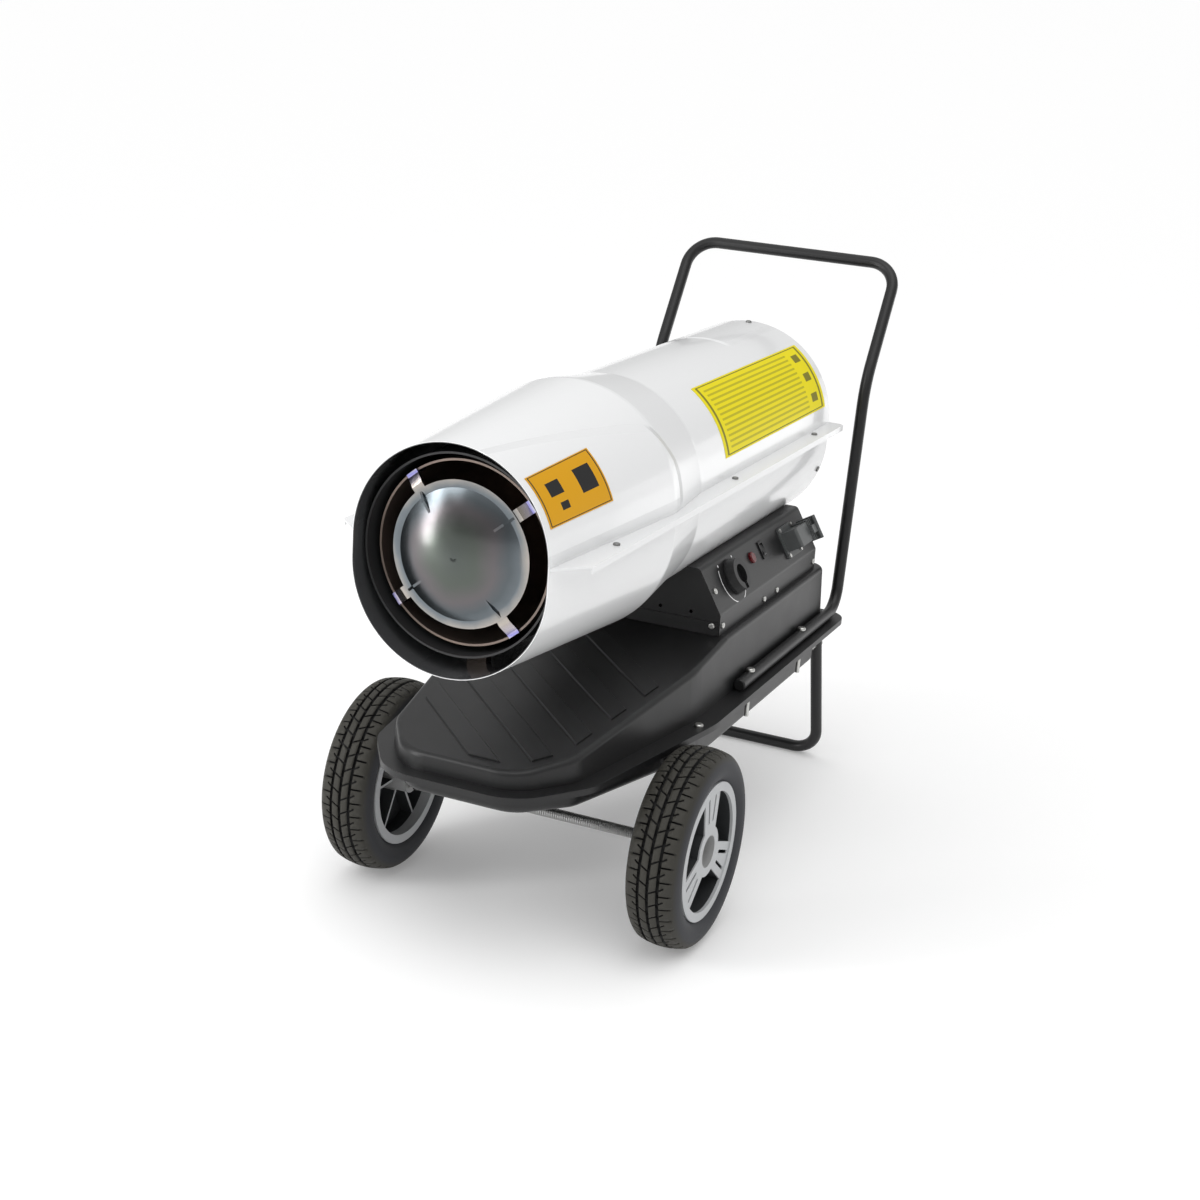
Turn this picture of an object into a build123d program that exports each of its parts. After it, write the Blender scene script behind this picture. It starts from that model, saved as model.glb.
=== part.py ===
from build123d import *
import os
from math import atan2, cos, degrees, radians, sin, sqrt, tan

os.makedirs("parts", exist_ok=True)

# A portable oil-fired forced air heater on two wheels. The hot air leaves along -Y, the control
# box is on the +X side, the wheel axle runs along X, and the ground is z = 0. All sizes are in mm.
# Stations named AHEAD or BEHIND are measured along Y from the axle, to the front or to the back.

# Stations that set the overall length
LIP_AHEAD = 262.0           # front edge of the barrel
HANDLE_BEHIND = 817.0       # centre line of the handle's crossbar
TUBE_DIA = 17.0             # handle and foot tube
TUBE_WALL = 1.5
AXLE_Y = (LIP_AHEAD - HANDLE_BEHIND - TUBE_DIA / 2) / 2

# Wheels
WHEEL_DIA = 250.0
TYRE_WIDTH = 69.0
CROWN_WIDTH = 50.0          # tread, shoulder to shoulder
CROWN_DROP = 4.0            # shoulder below the crown
TYRE_WALL = 8.0
GROOVE_WIDTH = 4.0
GROOVE_DEPTH = 3.0
RIM_SEAT_DIA = 160.0
RIM_WIDTH = 60.0
RIM_FLANGE_HEIGHT = 7.5
RIM_WALL = 4.0
WEB_THICK = 4.0
WEB_OFFSET = 6.0            # web's outer face, outboard of the wheel's middle plane
SPOKE_COUNT = 3
SPOKE_ROOT_WIDTH = 26.0
SPOKE_END_WIDTH = 50.0
SPOKE_FACE = 28.0           # spokes' outer face, outboard of the wheel's middle plane
SPOKE_SLOT_WIDTH = 4.5
SPOKE_SLOT_LENGTH = 34.0
SPOKE_SLOT_DEPTH = 8.0
SPOKE_SLOT_GAP = 17.0       # between the middles of a spoke's two slots
SPOKE_SLOT_TILT = 8.0       # degrees
HUB_RING_RADIUS = 32.0
HUB_RECESS_RADIUS = 20.0
RIB_COUNT = 6
RIB_THICK = 3.0
RIB_HEIGHT = 18.0
HUB_DIA = 38.0
HUB_INBOARD = 34.0          # hub's inner end from the wheel's middle plane
HUB_OUTBOARD = 10.0
HUB_FIT = 0.08              # radial running clearance of the hub on the axle
AXLE_DIA = 14.0
WASHER_DIA = 26.0
WASHER_THICK = 1.5
AXIAL_PLAY = 0.5
SPACER_DIA = 20.0
AXLE_CAP_DIA = 22.0
AXLE_CAP_LENGTH = 7.0
AXLE_CAP_WALL = 1.5

# Fuel tank, pressed in two halves with a flange between them
TANK_WIDTH = 380.0
NECK_INSET = 45.0           # flange's edge at the neck and at the nose, inside its widest part
NOSE_INSET = 104.0
TANK_FRONT_AHEAD = 238.0
TANK_REAR_BEHIND = 665.0
TANK_SHOULDER_BEHIND = 120.0
TANK_NECK_AHEAD = 150.0
TANK_NECK_WIDTH = TANK_WIDTH - 2 * NECK_INSET
TANK_NOSE_WIDTH = TANK_WIDTH - 2 * NOSE_INSET
NOSE_RADIUS = 70.0
SHOULDER_RADIUS = 200.0
TANK_REAR_RADIUS = 36.0
SEAM_Z = 240.0              # plane where the halves meet
TANK_SHEET = 1.5
HUMP_INSET = 27.0           # foot of the upper half's walls inside the flange's edge
HUMP_NECK_INSET = 23.0
HUMP_NOSE_INSET = 10.0
HUMP_WIDTH = TANK_WIDTH - 2 * HUMP_INSET
HUMP_NECK_WIDTH = TANK_NECK_WIDTH - 2 * HUMP_NECK_INSET
HUMP_NOSE_WIDTH = TANK_NOSE_WIDTH - 2 * HUMP_NOSE_INSET
HUMP_FRONT_AHEAD = 217.0
HUMP_REAR_BEHIND = 638.0
HUMP_NOSE_RADIUS = 60.0
HUMP_REAR_RADIUS = 30.0
TANK_DRAFT = 3.0            # degrees
TANK_TOP_Z = 322.0
NOSE_TOP_Z = 263.0          # top of the tank at the foot of its front wall
RAMP_END_BEHIND = 225.0     # where the sloping top reaches its full height
TANK_EDGE_RADIUS = 7.0
FLANGE_LIP = 8.0            # turned-down edge of the upper flange
PAN_INSET = 26.0            # pan's walls inside the flange's edge
PAN_REAR_INSET = 64.0
PAN_DEPTH = 60.0
PAN_FRONT_DEPTH = 30.0
PAN_LEVEL_BEHIND = 190.0    # where the pan's sloping bottom reaches its full depth
PAN_DRAFT = 3.0
PAN_EDGE_RADIUS = 10.0
STRIP_COUNT = 5             # raised strips pressed across the sloping top on the skew
STRIP_WIDTH = 28.0
STRIP_PITCH = 62.0
STRIP_SKEW = 42.0           # degrees
STRIP_FIRST = 130.0         # first strip's middle line ahead of the axle, square to the strips
STRIP_RISE = 2.0
STRIP_BEVEL = 1.2
STRIP_MARGIN = 20.0         # strips' ends inside the foot of the tank's walls
STRIP_END_BEHIND = 205.0

# Filler, strainer and drain
FILLER_SIDE = 108.0         # filler's centre, on the -X side
FILLER_BEHIND = 150.0
FILLER_DIA = 54.0
FILLER_HEIGHT = 26.0
FILLER_WALL = 2.0
CAP_DIA = 66.0
CAP_HEIGHT = 22.0
CAP_WALL = 3.0
CAP_GRIPS = 12
CAP_GRIP_DEPTH = 2.0
FILLER_CLEAR = 6.0          # flat margin between the filler and the pressed strips
STRAINER_DEPTH = 46.0
STRAINER_GAP = 0.5
STRAINER_SHEET = 1.0
STRAINER_RIM = 1.4
STRAINER_SLOTS = 6
STRAINER_SLOT_WIDTH = 6.0
DRAIN_BEHIND = 400.0
DRAIN_HEAD_HEIGHT = 8.0
DRAIN_REACH = 6.0           # plug's end above the pan's bottom sheet
DRAIN_DIA = 18.0

# Axle brackets, bolted under the tank's flange beside the pan
WHEEL_OUTSET = 19.5               # wheels' middle planes outside the tank's sides
TRACK = TANK_WIDTH + 2 * WHEEL_OUTSET
BRACKET_INSET = 25.0              # plate's inner face inside the tank's side
BRACKET_SIDE = TANK_WIDTH / 2 - BRACKET_INSET
BRACKET_THICK = 3.0
BRACKET_TOP = (5.0, 115.0)        # top edge's two ends behind the axle
BRACKET_REAR_DEPTH = 20.0
BRACKET_FOOT_WIDTH = 13.0
BRACKET_FOOT = (85.0, 117.0)      # foot's two ends behind the axle
BRACKET_BOLT_ASIDE = 9.0          # bolt's middle line outside the plate's inner face
BRACKET_BOLT_BEHIND = 101.0
BRACKET_BOLT_TAIL = 14.0
BRACKET_EYE_RADIUS = 14.0

# Handle and foot
HANDLE_INSET = 19.0         # rails' middle lines inside the tank's sides
HANDLE_NARROWING = 6.0      # each upright inside its rail
HANDLE_HALF_WIDTH = TANK_WIDTH / 2 - HANDLE_INSET
HANDLE_TOP_HALF_WIDTH = HANDLE_HALF_WIDTH - HANDLE_NARROWING
HANDLE_START_BEHIND = 254.0
HANDLE_BEND_BEHIND = 655.0
HANDLE_KINK_BEHIND = 710.0
HANDLE_KINK_Z = 580.0
HANDLE_TOP_Z = 743.0
HANDLE_CORNER_RADIUS = 42.0
HANDLE_BEND_RADIUS = 40.0
HANDLE_KINK_RADIUS = 160.0
END_PLUG_HEAD = 4.0
END_PLUG_LENGTH = 14.0
BOLT_STATIONS_BEHIND = (291.5, 500.5)
BOLT_DIA = 6.0
BOLT_HEAD_DIA = 12.0
BOLT_HEAD_HEIGHT = 4.0
BOLT_TAIL = 46.0            # stud below the flange
NUT_WIDTH = 10.0
NUT_HEIGHT = 5.0
FOOT_INSET = 32.4           # legs' middle lines inside the tank's sides
FOOT_HALF_WIDTH = TANK_WIDTH / 2 - FOOT_INSET
FOOT_TOP_BEHIND = 612.0
FOOT_BOTTOM_BEHIND = 683.0
FOOT_CORNER_RADIUS = 38.0
FOOT_SCREW_DIA = 6.0
FOOT_SCREW_DROP = 20.0      # first screw below the top of the foot tube
FOOT_SCREW_SPACING = 20.0

# Barrel: two sheet shells that meet at side flanges
BURNER_Z = 515.5            # axis of the burner, fan and motor
SPLIT_Z = 526.5             # plane between the shells
SIDE_DROP = 26.0            # straight side walls of the lower shell
SHELL_SHEET = 1.5
LIP_RADIUS = 121.5
BELLY_RADIUS = 144.5
TAIL_RADIUS = 132.5
BELLY_BEHIND = 40.0
TAIL_START_BEHIND = 150.0
SHELL_REAR_BEHIND = 655.0
FLANGE_HALF_WIDTH = 156.0
FLANGE_FRONT_CUT = 38.0     # the side flange starts this far behind the barrel's front edge
SHELL_LIP_DROP = 8.0        # turned-down edge of the side flange
SHELL_BEND_RADIUS = 45.0
SHELL_SCREWS_AHEAD = (130.0, -244.6, -560.2)
SHELL_SCREW_SIDE = 142.0
SCREW_DIA = 4.0
SCREW_HEAD_DIA = 8.5
SCREW_HEAD_HEIGHT = 2.6
SHELL_GAP = 0.3

# Heat shield, combustion chamber and flame deflector
SHIELD_RADIUS = 117.2
SHIELD_SETBACK = 21.5       # behind the barrel's front edge
SHIELD_LENGTH = 250.0
LINER_SHEET = 1.2
CHAMBER_RADIUS = 107.0
CHAMBER_SETBACK = 36.0
CHAMBER_LENGTH = 372.0
CHAMBER_BEAD = 2.5
BURNER_TUBE_RADIUS = 58.0
DEFLECTOR_SETBACK = 28.0
DEFLECTOR_RADIUS = 85.0
DEFLECTOR_RIM = 9.0
DOME_RISE = 17.0
LEG_COUNT = 4
LEG_WIDTH = 15.0
LEG_TAB = 16.0
LEG_GAP = 0.6               # between the legs' hooks and the chamber's bead
LEG_TURN = 50.0             # degrees from upright to the first leg
LEG_RIB_THICK = 3.0
LEG_RIB_LENGTH = 22.0
LEG_RIB_RISE = 3.6
STRUT_WIDTH = 12.0
STRUT_STATIONS = (60.0, 200.0)   # behind the shield's front edge

# Burner head
HEAD_LENGTH = 46.0
HEAD_REACH = 12.0           # head's front inside the chamber
HEAD_SHEET = 2.0
HEAD_FLANGE = 10.0
HEAD_SLOTS = 8
HEAD_SLOT_WIDTH = 5.0
HEAD_SLOT_MARGIN = 8.0      # slots' outer ends inside the tube
HEAD_HOLES_AT = 0.68        # share of the tube's radius
NOZZLE_DIA = 18.0
NOZZLE_LENGTH = 34.0
ADAPTER_SIZE = 30.0
ADAPTER_LENGTH = 34.0
ADAPTER_COLLAR = 8.0
PORT_LENGTH = 8.0
NOZZLE_TIP = 8.0
NOZZLE_ORIFICE_RADIUS = 2.0
ELECTRODE_DIA = 8.0
ELECTRODE_LENGTH = 70.0
ELECTRODE_SPREAD = 22.0
ELECTRODE_WIRE_DIA = 3.0
ELECTRODE_WIRE_LENGTH = 14.0
ELECTRODE_RISE = 24.0       # above the nozzle's axis
ELECTRODE_TAIL = 24.0       # behind the head's rear plate
PHOTOCELL_DIA = 14.0
PHOTOCELL_LENGTH = 30.0
PHOTOCELL_OFFSET = 40.0

# Fan, motor and air pump
FAN_BEHIND = 330.0          # middle of the fan
FAN_RADIUS = 120.0
FAN_BLADES = 5
FAN_HUB_RADIUS = 22.0
FAN_HUB_LENGTH = 34.0
BLADE_THICK = 2.5
BLADE_ROOT_CHORD = 44.0
BLADE_TIP_CHORD = 66.0
BLADE_ROOT_PITCH = 52.0     # degrees from the fan's plane
BLADE_TIP_PITCH = 27.0
MOTOR_START_BEHIND = 400.0
MOTOR_LENGTH = 128.0
MOTOR_RADIUS = 56.0
MOTOR_FINS = 12
MOTOR_FIN_DEPTH = 3.0
SHAFT_DIA = 10.0
SHAFT_FIT = 0.05
BEARING_BOSS_RADIUS = 18.0
BEARING_BOSS_LENGTH = 8.0
PUMP_RADIUS = 42.0
PUMP_LENGTH = 26.0
PUMP_COVER_LENGTH = 16.0
ROTOR_RADIUS = 22.0
ROTOR_OFFSET = 4.0          # the rotor's axis above the bore's axis
ROTOR_SLOTS = 4
GRILLE_SETBACK = 14.0        # in from the barrel's rear edge
GRILLE_RINGS = 6
GRILLE_WIRE = 3.0
GRILLE_ARM_WIDTH = 14.0
GRILLE_HUB_RADIUS = 24.0
GRILLE_BAND = 18.0
HOSE_DIA = 8.0

# Support plates and control box between the tank and the barrel
BOX_FRONT_BEHIND = 220.5
BOX_LENGTH = 385.0
BOX_HALF_WIDTH = 146.0
BOX_SIDE_HEIGHT = 28.0
PANEL_TOP_HALF_WIDTH = 112.5
PANEL_TOP_Z = 406.5
BOX_SHEET = 1.5
PLATE_SHEET = 2.0
BOX_BEND_RADIUS = 6.0
PLATE_HOLE_DIA = 5.0
PLATE_HOLE_SPACING = 43.4
PLATE_HOLE_SIDE = 84.3      # middle of the two holes from the middle plane
PLATE_HOLE_Z = 348.5
PLATE_FOOT = 14.0
PLATE_STRIP_HEIGHT = 18.0
PLATE_STRIP_THICK = 1.5
PLATE_SCREW_AT = (137.0, 12.7)    # to the side, above the tank
# Screws on a cover's foot: behind the box's front, above the tank
BOX_SCREWS = ((9.7, 12.6), (169.0, 7.0), (220.0, 7.0), (375.0, 11.0))
PANEL_SCREW_AT = (13.4, 30.5)

# Things on the sloping panel: station behind the box's front, height up the slope
PANEL_CUT = 10.0            # cut-outs run this far past the panel both ways
KNOB_AT = (83.0, 33.5)
KNOB_DIA = 50.0
KNOB_TOP_DIA = 43.0
KNOB_HEIGHT = 14.0
KNOB_SKIRT = 3.0
KNOB_DISH_DIA = 26.0
KNOB_DISH_DEPTH = 8.0
KNOB_NOTCH_WIDTH = 8.0      # pointer cut from the dish to the edge
KNOB_NOTCH_DEPTH = 4.0
KNOB_STEM_DIA = 6.0
THERMOSTAT_SIZE = 34.0
THERMOSTAT_DEPTH = 20.0
LAMP_AT = (162.0, 41.0)
LAMP_DIA = 16.0
LAMP_RISE = 4.0
LAMP_BODY_LENGTH = 22.0
SWITCH_AT = (205.0, 42.0)
SWITCH_WIDTH = 16.0         # along the box
SWITCH_HEIGHT = 25.0
SWITCH_BORDER = 3.0
SWITCH_BEZEL = 2.0          # height of the bezel
SWITCH_DEPTH = 20.0
ROCKER_SWING = 12.0         # degrees to each side of the middle
ROCKER_RISE = 3.0
ROCKER_GAP = 0.4
ROCKER_PIVOT = 1.0          # pivot below the panel, and radius of its stubs
SOCKET_AT = (303.0, 32.0)
SOCKET_FLANGE = (54.0, 46.0)   # along the box, up the slope
SOCKET_FLANGE_THICK = 3.0
SOCKET_BODY = (44.0, 28.0)
SOCKET_RISE = 27.0
SOCKET_COLLAR = 18.0
SOCKET_COLLAR_STEP = 1.5
SOCKET_RIBS = 3
SOCKET_WALL = 4.0
SOCKET_SCREW_DIA = 3.5
SOCKET_SCREW_HEAD = 2.0
SOCKET_SCREW_EDGE = 4.0     # screws' centres from the flange's edges
CONTACT_DIA = 4.0
CONTACT_LENGTH = 20.0
CONTACT_SPACING = 6.0
LID_THICK = 7.0
LID_BLOCK = 14.0
LID_BLOCK_WIDTH = 0.7       # share of the lid's width
LID_BLOCK_EDGE = 4.0
LID_MARGIN = 2.0            # lid beyond the collar on each side
LID_GAP = 0.3
KNUCKLE_DIA = 6.0
KNUCKLE_LENGTH = 12.0
LID_PIN_DIA = 3.0
PIN_FIT = 0.05
FUEL_LINE_SIDE = 40.0       # the fuel line's riser, on the -X side
FUEL_LINE_BEHIND = 262.0
FUEL_LINE_LEAD = 8.0        # straight end of the line beside the filter
FUEL_LINE_ENTRY_DROP = 60.0 # top of the riser below the lower shell's middle line
FUEL_LINE_CROSS_DROP = 20.0 # far end of the slanting run below the same line
FUEL_LINE_STANDOFF = 34.0   # last riser beside the nozzle block's port
FUEL_LINE_BENDS = (7.0, 16.0, 14.0, 14.0)
FUEL_PORT_Z = 345.0
FILTER_SIDE = 74.0
FILTER_DIA = 34.0
FUEL_PIPE_DIA = 8.0
FILTER_HEIGHT = 34.0
CIRCUIT_BOARD = (90.0, 44.0, 1.6)
BOARD_STATION = 110.0       # behind the box's front
BOARD_POST_HEIGHT = 8.0
BOARD_POST_EDGE = (5.0, 6.0)
RELAY = (20.0, 28.0, 16.0)
CAPACITOR_DIA = 12.0
CAPACITOR_HEIGHT = 18.0
TRANSFORMER = (62.0, 40.0, 34.0)
TRANSFORMER_STATION = 230.0
TRANSFORMER_INSET = 30.0
TRANSFORMER_POST = 12.0

LIP_Y = AXLE_Y - LIP_AHEAD
REAR_Y = AXLE_Y + SHELL_REAR_BEHIND
AXLE_Z = WHEEL_DIA / 2
SEAM_TOP_Z = SEAM_Z + TANK_SHEET
LOWER_AXIS_Z = SPLIT_Z - SIDE_DROP
TUBE_R = TUBE_DIA / 2
BOX_Y = AXLE_Y + BOX_FRONT_BEHIND
PAN_BOTTOM_Z = SEAM_Z - PAN_DEPTH


# ---------------------------------------------------------------- helpers
def block(x, y, z):
    """A box from its three ranges."""
    size = [b - a for a, b in (x, y, z)]
    return Pos(*[(a + b) / 2 for a, b in (x, y, z)]) * Box(*size)


def along_y(sketch, y0, y1):
    """A sketch drawn as seen from the front, x to the right and z up, pushed from y0 to y1."""
    return extrude(Plane.XZ.offset(-y0) * sketch, y0 - y1)


def along_x(sketch, x0, x1):
    """A sketch drawn in y and z, pushed from x0 to x1."""
    return extrude(Plane.YZ.offset(x0) * sketch, x1 - x0)


def tube_y(outer, inner, y0, y1, z=BURNER_Z, x=0.0):
    ring = Circle(outer) - Circle(inner) if inner else Circle(outer)
    return along_y(Pos(x, z) * ring, y0, y1)


def rod_x(radius, x0, x1, y, z, bore=0.0):
    ring = Circle(radius) - Circle(bore) if bore else Circle(radius)
    return along_x(Pos(y, z) * ring, x0, x1)


def rod_z(radius, z0, z1, x, y, bore=0.0):
    ring = Circle(radius) - Circle(bore) if bore else Circle(radius)
    return Pos(x, y, z0) * extrude(ring, z1 - z0)


def mirrored(shape):
    """The same piece on the other side of the middle plane."""
    return mirror(shape, Plane.YZ)


def both_sides(shapes):
    return [solid for shape in shapes for solid in (*shape.solids(), *mirrored(shape).solids())]


def bent_tube(points, radii, radius, wall):
    """A round tube along straight runs with a bend at each inner point."""
    path = FilletPolyline(*points, radius=radii)
    start = Plane(origin=path @ 0, z_dir=path % 0)
    outside = sweep(start * Circle(radius), path=path)
    return outside - sweep(start * Circle(radius - wall), path=path)


# ---------------------------------------------------------------- wheels
def tyre():
    """Air-filled carcass on the rim's seat, with three grooves round the tread."""
    seat, flange = RIM_SEAT_DIA / 2, RIM_SEAT_DIA / 2 + RIM_FLANGE_HEIGHT + HUB_FIT
    bead = RIM_WIDTH / 2 - RIM_WALL
    half, crown = TYRE_WIDTH / 2, CROWN_WIDTH / 2
    radius = WHEEL_DIA / 2
    waist = (seat + radius) / 2
    inner_bead, inner_crown = bead - TYRE_WALL, crown - TYRE_WALL
    outside = [
        Line((bead, seat), (bead, flange)),
        ThreePointArc((bead, flange), (half, waist), (crown, radius - CROWN_DROP)),
        ThreePointArc((crown, radius - CROWN_DROP), (0, radius), (-crown, radius - CROWN_DROP)),
        ThreePointArc((-crown, radius - CROWN_DROP), (-half, waist), (-bead, flange)),
        Line((-bead, flange), (-bead, seat)),
    ]
    inside = [
        Line((-bead, seat), (-inner_bead, seat)),
        ThreePointArc((-inner_bead, seat), (TYRE_WALL - half, waist), (-inner_crown, radius - 2 * TYRE_WALL)),
        Line((-inner_crown, radius - 2 * TYRE_WALL), (inner_crown, radius - 2 * TYRE_WALL)),
        ThreePointArc((inner_crown, radius - 2 * TYRE_WALL), (half - TYRE_WALL, waist), (inner_bead, seat)),
        Line((inner_bead, seat), (bead, seat)),
    ]
    section = make_face(Wire(outside + inside))
    for place in (-crown / 2, 0, crown / 2):
        groove = Rectangle(GROOVE_WIDTH, 2 * GROOVE_DEPTH)
        section -= Pos(place, radius - CROWN_DROP * (2 * place / CROWN_WIDTH) ** 2) * groove
    return revolve(section, Axis.X)


def spoke():
    """Tapered spoke on the web, with two slots set in a narrow V."""
    reach = RIM_SEAT_DIA / 2 - RIM_WALL / 2
    root, end = SPOKE_ROOT_WIDTH / 2, SPOKE_END_WIDTH / 2
    outline = make_face(Polyline((-root, 0), (root, 0), (end, reach), (-end, reach), close=True))
    body = along_x(outline & Circle(reach), WEB_OFFSET, SPOKE_FACE)
    middle = (reach + HUB_RING_RADIUS) / 2
    for side in (-1, 1):
        slot = SlotOverall(SPOKE_SLOT_LENGTH, SPOKE_SLOT_WIDTH, rotation=90)
        slot = Pos(side * SPOKE_SLOT_GAP / 2, middle) * Rot(Z=-side * SPOKE_SLOT_TILT) * slot
        body -= along_x(slot, SPOKE_FACE - SPOKE_SLOT_DEPTH, SPOKE_FACE + 1)
    return body


def rim():
    """Moulded wheel: seat with two flanges, a web, slotted spokes round a hub ring, ribs behind."""
    seat = RIM_SEAT_DIA / 2
    half = RIM_WIDTH / 2
    reach = seat - RIM_WALL / 2
    profile = Polyline(
        (-half, seat - RIM_WALL), (-half, seat + RIM_FLANGE_HEIGHT),
        (RIM_WALL - half, seat + RIM_FLANGE_HEIGHT), (RIM_WALL - half, seat),
        (half - RIM_WALL, seat), (half - RIM_WALL, seat + RIM_FLANGE_HEIGHT),
        (half, seat + RIM_FLANGE_HEIGHT), (half, seat - RIM_WALL), close=True,
    )
    body = revolve(make_face(profile), Axis.X)
    body += rod_x(reach, WEB_OFFSET - WEB_THICK, WEB_OFFSET, 0, 0)
    body += rod_x(HUB_DIA / 2, -HUB_INBOARD, HUB_OUTBOARD, 0, 0)
    rib = block((WEB_OFFSET - WEB_THICK - RIB_HEIGHT, WEB_OFFSET - WEB_THICK),
                (-RIB_THICK / 2, RIB_THICK / 2), (0, reach))
    for i in range(SPOKE_COUNT):
        body += Rot(X=i * 360 / SPOKE_COUNT) * spoke()
    for i in range(RIB_COUNT):
        body += Rot(X=(i + 0.5) * 360 / RIB_COUNT) * rib
    body += rod_x(HUB_RING_RADIUS, WEB_OFFSET, SPOKE_FACE, 0, 0)
    body -= rod_x(HUB_RECESS_RADIUS, HUB_OUTBOARD, SPOKE_FACE + 1, 0, 0)
    return body - rod_x(AXLE_DIA / 2 + HUB_FIT, -half - 10, half + 10, 0, 0)


def on_wheel(shape):
    return Pos(TRACK / 2, AXLE_Y, AXLE_Z) * shape


HUB_INNER_X = TRACK / 2 - HUB_INBOARD - AXIAL_PLAY
HUB_OUTER_X = TRACK / 2 + HUB_OUTBOARD + AXIAL_PLAY


def axle():
    length = HUB_OUTER_X + WASHER_THICK + AXLE_CAP_LENGTH - 2 * AXLE_CAP_WALL
    return rod_x(AXLE_DIA / 2, -length, length, AXLE_Y, AXLE_Z)


def axle_washers():
    bore = AXLE_DIA / 2
    inner = rod_x(WASHER_DIA / 2, HUB_INNER_X - WASHER_THICK, HUB_INNER_X, AXLE_Y, AXLE_Z, bore)
    outer = rod_x(WASHER_DIA / 2, HUB_OUTER_X, HUB_OUTER_X + WASHER_THICK, AXLE_Y, AXLE_Z, bore)
    return both_sides([inner, outer])


def axle_spacers():
    """Tubes on the axle between the tank's brackets and the wheels' inner washers."""
    inner = BRACKET_SIDE + BRACKET_THICK
    outer = HUB_INNER_X - WASHER_THICK
    return both_sides([rod_x(SPACER_DIA / 2, inner, outer, AXLE_Y, AXLE_Z, AXLE_DIA / 2)])


def axle_caps():
    """Push-on spring caps on the axle's ends."""
    start = HUB_OUTER_X + WASHER_THICK
    cap = rod_x(AXLE_CAP_DIA / 2, start, start + AXLE_CAP_WALL, AXLE_Y, AXLE_Z)
    cap += rod_x(AXLE_DIA / 2 + AXLE_CAP_WALL, start, start + AXLE_CAP_LENGTH, AXLE_Y, AXLE_Z)
    cap = chamfer(cap.faces().sort_by(Axis.X)[-1].edges(), AXLE_CAP_WALL / 2)
    return both_sides([cap - axle()])


# ---------------------------------------------------------------- tank
def tank_plan(width, neck_width, nose_width, front_ahead, rear_behind, nose_radius, rear_radius):
    """Plan with parallel sides, a narrowing front and a rounded nose."""
    front, rear = AXLE_Y - front_ahead, AXLE_Y + rear_behind
    shoulder, neck = AXLE_Y + TANK_SHOULDER_BEHIND, AXLE_Y - TANK_NECK_AHEAD
    right = [(nose_width / 2, front), (neck_width / 2, neck), (width / 2, shoulder), (width / 2, rear)]
    left = [(-x, y) for x, y in reversed(right)]
    face = make_face(Polyline(*right, *left, close=True))
    face = fillet(face.vertices().filter_by(lambda v: v.Y > rear - 1), rear_radius)
    face = fillet(face.vertices().filter_by(lambda v: abs(v.Y - shoulder) < 1), SHOULDER_RADIUS)
    return fillet(face.vertices().filter_by(lambda v: v.Y < neck + 1), nose_radius)


def flange_plan(inset=0.0, rear_extra=0.0):
    face = tank_plan(TANK_WIDTH, TANK_NECK_WIDTH, TANK_NOSE_WIDTH, TANK_FRONT_AHEAD,
                     TANK_REAR_BEHIND + rear_extra, NOSE_RADIUS, TANK_REAR_RADIUS)
    return offset(face, -inset) if inset else face


def hump_plan(inset=0.0):
    face = tank_plan(HUMP_WIDTH, HUMP_NECK_WIDTH, HUMP_NOSE_WIDTH, HUMP_FRONT_AHEAD,
                     HUMP_REAR_BEHIND, HUMP_NOSE_RADIUS, HUMP_REAR_RADIUS)
    return offset(face, -inset) if inset else face


def sloped_z(y, front, bend, front_z, bend_z):
    """Height of a line that runs straight through two points and is level behind the second."""
    return bend_z - (bend_z - front_z) / (bend - front) * max(0.0, bend - y)


def side_profile(front, bend, front_z, bend_z, close_z):
    """Everything between the sloped line and the height close_z, across the whole tank."""
    start, end = front - TANK_WIDTH / 8, bend + 2 * TANK_REAR_BEHIND
    start_z = sloped_z(start, front, bend, front_z, bend_z)
    points = [(start, close_z), (start, start_z), (bend, bend_z), (end, bend_z), (end, close_z)]
    return along_x(make_face(Polyline(*points, close=True)), -TANK_WIDTH, TANK_WIDTH)


HUMP_FRONT_Y = AXLE_Y - HUMP_FRONT_AHEAD
RAMP_END_Y = AXLE_Y + RAMP_END_BEHIND


def ramp_top_z(y):
    return sloped_z(y, HUMP_FRONT_Y, RAMP_END_Y, NOSE_TOP_Z, TANK_TOP_Z)


def below_top(drop):
    """Space between the seam and the tank's top, lowered by the drop."""
    return side_profile(HUMP_FRONT_Y, RAMP_END_Y, NOSE_TOP_Z - drop, TANK_TOP_Z - drop, SEAM_Z)


def tank_hump(inset, drop):
    height = TANK_TOP_Z - SEAM_Z + 2 * STRIP_RISE
    return Pos(0, 0, SEAM_Z) * extrude(hump_plan(inset), height, taper=TANK_DRAFT) & below_top(drop)


def rounded_hump(inset, drop):
    """The tank's upper volume with its top edge rounded all round."""
    def on_top_edge(edge):
        middle, way = edge @ 0.5, edge % 0.5
        across = abs(way.X) > 0.999 and abs(middle.Y - RAMP_END_Y) < 1
        return abs(middle.Z + drop - ramp_top_z(middle.Y)) < 0.5 and not across

    body = tank_hump(inset, drop)
    return fillet(body.edges().filter_by(on_top_edge), TANK_EDGE_RADIUS - drop)


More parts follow.
